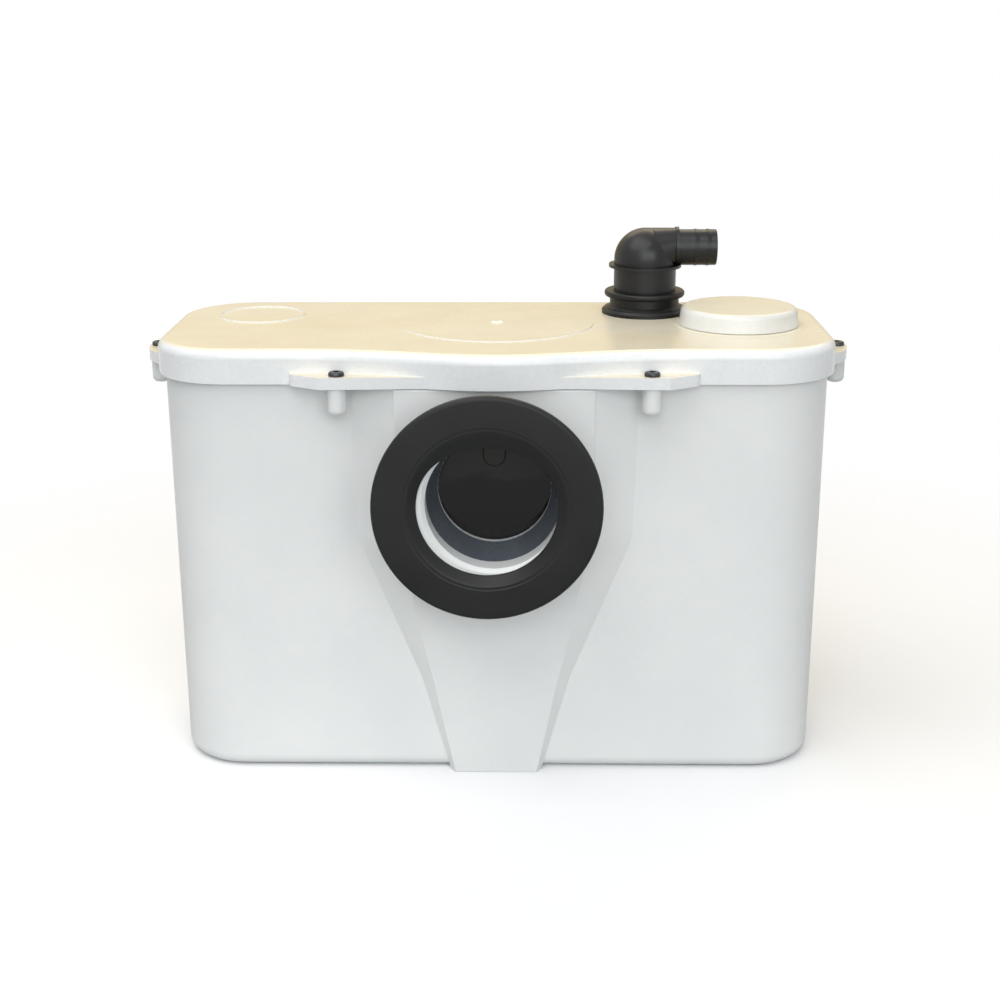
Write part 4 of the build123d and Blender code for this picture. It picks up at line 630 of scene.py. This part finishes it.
@dataclass
class MotorCoils(Assembly):
    """Enamelled wires laid round both end turns of the stator by Geometry Nodes.

    Args:
        wire_mm: Radius of one wire.
        wires: Wires round the section of one end turn.
        section_mm: Radial and axial size of the end turn's section.
        corner_mm: Rounding of that section.
        hoop_steps: Steps round the motor.
        wire_steps: Steps round one wire.
        jitter_mm: How far a wire strays from its row.
        seed: Seed of that stray.
    """

    wire_mm: float = 0.5
    wires: int = 34
    section_mm: Point = (7.4, 9.6)
    corner_mm: float = 2.0
    hoop_steps: int = 120
    wire_steps: int = 8
    jitter_mm: float = 0.12
    seed: int = 7

    def tree(self) -> bpy.types.NodeTree:
        """Builds the node group: a section of points, a ring through each, a wire along each ring.

        Returns:
            The group, whose inputs are the coil's sizes, its seed and its material.
        """
        group = bpy.data.node_groups.new("end_turn_wires", "GeometryNodeTree")
        face = group.interface
        face.new_socket("Geometry", in_out="OUTPUT", socket_type="NodeSocketGeometry")
        for name, kind in (("Wires", "Int"), ("Wire Radius", "Float"), ("Middle Radius", "Float"),
                           ("Width", "Float"), ("Length", "Float"), ("Stray", "Float"), ("Seed", "Int"),
                           ("Material", "Material")):
            face.new_socket(name, in_out="INPUT", socket_type="NodeSocket" + kind)
        given = add_node(group, "NodeGroupInput").outputs
        section = add_node(group, "GeometryNodeCurvePrimitiveQuadrilateral", i0=given["Width"],
                           i1=given["Length"])
        soft = add_node(group, "GeometryNodeFilletCurve", mode="POLY", Curve=section.outputs["Curve"],
                        Count=6, Radius=self.corner_mm * MM)
        rows = add_node(group, "GeometryNodeResampleCurve", Curve=soft.outputs["Curve"], Count=given["Wires"])
        spots = add_node(group, "GeometryNodeCurveToPoints", mode="EVALUATED", Curve=rows.outputs["Curve"])
        low = add_node(group, "ShaderNodeMath", operation="MULTIPLY", i0=given["Stray"], i1=-1.0)
        stray = add_node(group, "FunctionNodeRandomValue", data_type="FLOAT", i2=low.outputs[0],
                         i3=given["Stray"], Seed=given["Seed"])
        spot = add_node(group, "GeometryNodeInputPosition").outputs[0]
        where = add_node(group, "ShaderNodeSeparateXYZ", Vector=spot)
        radius = add_node(group, "ShaderNodeMath", operation="ADD", i0=where.outputs["X"],
                          i1=given["Middle Radius"])
        loose = add_node(group, "ShaderNodeMath", operation="ADD", i0=radius.outputs[0], i1=stray.outputs[1])
        size = add_node(group, "ShaderNodeCombineXYZ", X=loose.outputs[0], Y=loose.outputs[0], Z=1.0)
        height = add_node(group, "ShaderNodeCombineXYZ", Z=where.outputs["Y"])
        hoop = add_node(group, "GeometryNodeCurvePrimitiveCircle", mode="RADIUS",
                        Resolution=self.hoop_steps)
        hoop.inputs["Radius"].default_value = 1.0
        placed = add_node(group, "GeometryNodeSetPosition", Geometry=spots.outputs["Points"],
                          Position=height.outputs[0])
        hold = add_node(group, "GeometryNodeCaptureAttribute", Geometry=spots.outputs["Points"])
        hold.capture_items.new("VECTOR", "size")
        group.links.new(size.outputs[0], hold.inputs[1])
        group.links.new(hold.outputs["Geometry"], placed.inputs["Geometry"])
        rings = add_node(group, "GeometryNodeInstanceOnPoints", Points=placed.outputs["Geometry"],
                         Instance=hoop.outputs["Curve"], Scale=hold.outputs[1])
        real = add_node(group, "GeometryNodeRealizeInstances", Geometry=rings.outputs["Instances"])
        round_wire = add_node(group, "GeometryNodeCurvePrimitiveCircle", mode="RADIUS",
                              Resolution=self.wire_steps)
        group.links.new(given["Wire Radius"], round_wire.inputs["Radius"])
        wires = add_node(group, "GeometryNodeCurveToMesh", Curve=real.outputs["Geometry"])
        group.links.new(round_wire.outputs["Curve"], wires.inputs["Profile Curve"])
        solid = add_node(group, "GeometryNodeRealizeInstances", Geometry=wires.outputs["Mesh"])
        done = add_node(group, "GeometryNodeSetMaterial", Geometry=solid.outputs["Geometry"],
                        Material=given["Material"])
        group.links.new(done.outputs["Geometry"], add_node(group, "NodeGroupOutput").inputs[0])
        return group

    def build(self, windings: bpy.types.Object) -> None:
        """Winds both end turns of the CAD's copper.

        Args:
            windings: The CAD node, whose box gives the place and size.
        """
        corners = [windings.matrix_world @ Vector(c) for c in windings.bound_box]
        low = Vector(min(c[i] for c in corners) for i in range(3))
        high = Vector(max(c[i] for c in corners) for i in range(3))
        width, length = (v * MM for v in self.section_mm)
        middle = (high.z - low.z) / 2 - width / 2 - self.wire_mm * MM
        group = self.tree()
        for name, x in (("coil_back", low.x + length / 2 + self.wire_mm * MM),
                        ("coil_front", high.x - length / 2 - self.wire_mm * MM)):
            piece = bpy.data.objects.new(name, bpy.data.meshes.new(name))
            bpy.context.collection.objects.link(piece)
            modifier = piece.modifiers.new("wires", "NODES")
            modifier.node_group = group
            values = {"Wires": self.wires, "Wire Radius": self.wire_mm * MM, "Middle Radius": middle,
                      "Width": width, "Length": length, "Stray": self.jitter_mm * MM, "Seed": self.seed,
                      "Material": self.shop.get(COPPER)}
            for item in group.interface.items_tree:
                if item.in_out == "INPUT":
                    modifier[item.identifier] = values[item.name]
            mesh = bpy.data.meshes.new_from_object(piece.evaluated_get(bpy.context.evaluated_depsgraph_get()))
            piece.modifiers.remove(modifier)
            piece.data = mesh
            turn = Matrix.Rotation(math.radians(90), 4, "Y")
            place = Matrix.Translation((x, (low.y + high.y) / 2, (low.z + high.z) / 2))
            mesh.transform(place @ turn)
            mesh.shade_smooth()
            self.keep(piece, "housing", "copper_wire")


@dataclass
class SwitchSpring(Assembly):
    """The pressure switch's spring, which rides on the plunger's body.

    Args:
        travel_mm: How far the plunger rises; not used.
    """

    travel_mm: float = 1.5

    def build(self, spring: bpy.types.Object) -> None:
        """Copies the CAD's coil, welds it and puts it on the plunger's body.

        Args:
            spring: The CAD node, which this piece stands for.
        """
        coil = bmesh.new()
        coil.from_mesh(spring.data)
        coil.transform(spring.matrix_world)
        piece = mesh_object("switch_spring_coil", coil)
        self.keep(piece, "switch_plunger", "spring_steel", ("switch_spring",))
        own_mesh(piece)


@dataclass(frozen=True)
class Lamp:
    """One rectangular soft light.

    Args:
        name: Its name.
        spot: Where it hangs.
        size: Its width and height.
        watts: Its power.
        tint: The colour of its light, sRGB hex.
    """

    name: str
    spot: tuple[float, float, float]
    size: Point
    watts: float
    tint: str = "#FFFFFF"


@dataclass
class Studio:
    """Floor, soft lights, a warm card behind, and the camera of the photograph.

    Args:
        focal_px: The photograph's focal length in its own pixels.
        image_px: The photograph's width in pixels.
        azimuth_deg: How far the camera looks off +Y.
        pitch_deg: How far it looks down.
        roll_deg: How far it leans.
        camera_mm: Where it stands.
        sensor: Width of its sensor, in the camera's own millimetres.
        aim: What the lamps point at.
        floor_half: Half the floor's side.
        floor_drop: How far the floor lies under the tank's foot.
        fade: Where the floor starts and ends its fade into the room.
        card_half: Half the card's width.
        card_y: How far behind the pump the card stands.
        card_heights: Its lower and upper edge.
        card_glow: Its brightness.
        room_level: Brightness of the room that lights the pump.
        lamps: The lamps.
    """

    focal_px: float = 1619.79
    image_px: float = 1000.0
    azimuth_deg: float = 1.069
    pitch_deg: float = 17.209
    roll_deg: float = -0.206
    camera_mm: tuple[float, float, float] = (19.96, -987.77, 457.02)
    sensor: float = 36.0
    aim: tuple[float, float, float] = (0, 0, 0.13)
    floor_half: float = 6
    floor_drop: float = 0.0002
    fade: Point = (0.3, 0.75)
    card_half: float = 1.6
    card_y: float = 1.5
    card_heights: Point = (0.02, 1.0)
    card_glow: float = 0.9
    room_level: float = 0.5
    lamps: tuple[Lamp, ...] = (
        Lamp("key_above", (-0.5, -0.6, 1.9), (2.2, 1.6), 23),
        Lamp("fill_front", (0.3, -2.4, 1.15), (2.6, 1.6), 34, "#F9FDFE"),
        Lamp("back_top", (0.2, 1.6, 1.7), (2.4, 0.8), 13, "#FFE9BE"))

    def camera(self) -> None:
        """Sets the camera fitted to the photograph."""
        az, pitch, roll = (math.radians(v) for v in (self.azimuth_deg, self.pitch_deg, self.roll_deg))
        ahead = Vector((-math.sin(az) * math.cos(pitch), math.cos(az) * math.cos(pitch), -math.sin(pitch)))
        right = Vector((math.cos(az), math.sin(az), 0))
        up = right.cross(ahead)
        right, up = (math.cos(roll) * right + math.sin(roll) * up,
                     -math.sin(roll) * right + math.cos(roll) * up)
        data = bpy.data.cameras.new("camera")
        data.sensor_width = self.sensor
        data.lens = self.focal_px / self.image_px * data.sensor_width
        data.clip_end = 50.0
        eye = bpy.data.objects.new("camera", data)
        turn = Matrix((right, up, -ahead)).transposed().to_4x4()
        eye.matrix_world = Matrix.Translation(Vector(self.camera_mm) * MM) @ turn
        bpy.context.collection.objects.link(eye)
        bpy.context.scene.camera = eye

    def light(self, lamp: Lamp) -> None:
        """Adds a soft light aimed at the pump.

        Args:
            lamp: Its place, size, power and colour.
        """
        data = bpy.data.lights.new(lamp.name, "AREA")
        data.shape = "RECTANGLE"
        data.size, data.size_y = lamp.size
        data.energy = lamp.watts
        data.color = linear(lamp.tint)[:3]
        piece = bpy.data.objects.new(lamp.name, data)
        spot = Vector(lamp.spot)
        piece.location = spot
        piece.rotation_euler = (Vector(self.aim) - spot).to_track_quat("-Z", "Y").to_euler()
        bpy.context.collection.objects.link(piece)

    def floor(self) -> None:
        """A white floor that keeps the shadow and fades into the white room around it."""
        build = bmesh.new()
        half = self.floor_half
        build.faces.new([build.verts.new((x * half, y * half, -self.floor_drop))
                         for x, y in ((-1, -1), (1, -1), (1, 1), (-1, 1))])
        ground = mesh_object("floor", build)
        material, tree = node_material("white_paper_sweep")
        place = add_node(tree, "ShaderNodeTexCoord").outputs["Object"]
        noise = add_node(tree, "ShaderNodeTexNoise", Vector=place, Scale=30.0, Detail=4.0)
        colour = add_node(tree, "ShaderNodeMix", data_type="RGBA", Factor=noise.outputs["Fac"],
                          i6=linear("#FBFBFB"), i7=linear("#F9F9F9"))
        seen = add_node(tree, "ShaderNodeLightPath").outputs["Is Camera Ray"]
        paper = add_node(tree, "ShaderNodeMix", data_type="RGBA", Factor=seen, i6=linear("#C9CACB"),
                         i7=colour.outputs[2])
        shader = add_node(tree, "ShaderNodeBsdfPrincipled", Roughness=0.9, Base_Color=paper.outputs[2])
        reach = add_node(tree, "ShaderNodeVectorMath", operation="LENGTH", i0=place)
        fade = add_node(tree, "ShaderNodeMapRange", interpolation_type="SMOOTHSTEP",
                        Value=reach.outputs["Value"], From_Min=self.fade[0], From_Max=self.fade[1])
        clear = add_node(tree, "ShaderNodeBsdfTransparent")
        mix = add_node(tree, "ShaderNodeMixShader", i0=fade.outputs["Result"], i1=shader.outputs["BSDF"],
                       i2=clear.outputs["BSDF"])
        add_node(tree, "ShaderNodeOutputMaterial", Surface=mix.outputs[0])
        ground.data.materials.append(material)

    def card(self) -> None:
        """A warm board behind the pump, seen only in its glossy lid."""
        build = bmesh.new()
        half, (low, high) = self.card_half, self.card_heights
        build.faces.new([build.verts.new((x, self.card_y, z))
                         for x, z in ((-half, low), (half, low), (half, high), (-half, high))])
        board = mesh_object("warm_card", build)
        material, tree = node_material("cream_painted_board")
        place = add_node(tree, "ShaderNodeTexCoord").outputs["Object"]
        noise = add_node(tree, "ShaderNodeTexNoise", Vector=place, Scale=2.5, Detail=2.0)
        colour = add_node(tree, "ShaderNodeMix", data_type="RGBA", Factor=noise.outputs["Fac"],
                          i6=linear("#E9D9B4"), i7=linear("#DCC79B"))
        glow = add_node(tree, "ShaderNodeEmission", Strength=self.card_glow, Color=colour.outputs[2])
        add_node(tree, "ShaderNodeOutputMaterial", Surface=glow.outputs["Emission"])
        board.data.materials.append(material)
        board.visible_camera = False
        board.visible_shadow = False
        board.visible_diffuse = False

    def world(self) -> None:
        """White to the camera and in reflections, a soft grey room to everything else."""
        world = bpy.data.worlds.new("studio")
        bpy.context.scene.world = world
        world.use_nodes = True
        tree = world.node_tree
        tree.nodes.clear()
        path = add_node(tree, "ShaderNodeLightPath")
        facing = add_node(tree, "ShaderNodeTexCoord").outputs["Generated"]
        height = add_node(tree, "ShaderNodeSeparateXYZ", Vector=facing).outputs["Z"]
        rise = add_node(tree, "ShaderNodeMapRange", interpolation_type="SMOOTHSTEP", Value=height,
                        From_Min=-0.12, From_Max=0.25)
        tone = add_node(tree, "ShaderNodeMix", data_type="RGBA", Factor=rise.outputs["Result"],
                        i6=linear("#55575A"), i7=linear("#E9EAEC"))
        room = add_node(tree, "ShaderNodeBackground", Strength=self.room_level, Color=tone.outputs[2])
        white = add_node(tree, "ShaderNodeBackground", Color=(1, 1, 1, 1), Strength=1.0)
        plain = path.outputs["Is Camera Ray"]
        for kind in ("Is Glossy Ray", "Is Transmission Ray"):
            either = add_node(tree, "ShaderNodeMath", operation="MAXIMUM", i0=plain, i1=path.outputs[kind])
            plain = either.outputs[0]
        mix = add_node(tree, "ShaderNodeMixShader", i0=plain, i1=room.outputs[0], i2=white.outputs[0])
        add_node(tree, "ShaderNodeOutputWorld", Surface=mix.outputs[0])

    def build(self) -> None:
        """Sets up the whole studio."""
        self.camera()
        self.floor()
        self.card()
        self.world()
        for lamp in self.lamps:
            self.light(lamp)
        bpy.context.scene.view_settings.view_transform = "Standard"


def main() -> None:
    """Builds every sub-assembly and the studio."""
    logging.basicConfig(level=logging.INFO, format="%(message)s")
    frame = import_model()
    shop = MaterialShop()
    cad = CadFinish(shop)
    cad.build(frame)
    mouth = InletMouth(shop)
    mouth.build()
    coils = MotorCoils(shop)
    coils.build(frame["nodes"]["windings"])
    spring = SwitchSpring(shop)
    spring.build(frame["nodes"]["switch_spring"])
    for assembly in (cad, mouth, coils, spring):
        assembly.report()
    Studio().build()


if __name__ == "__main__":
    main()
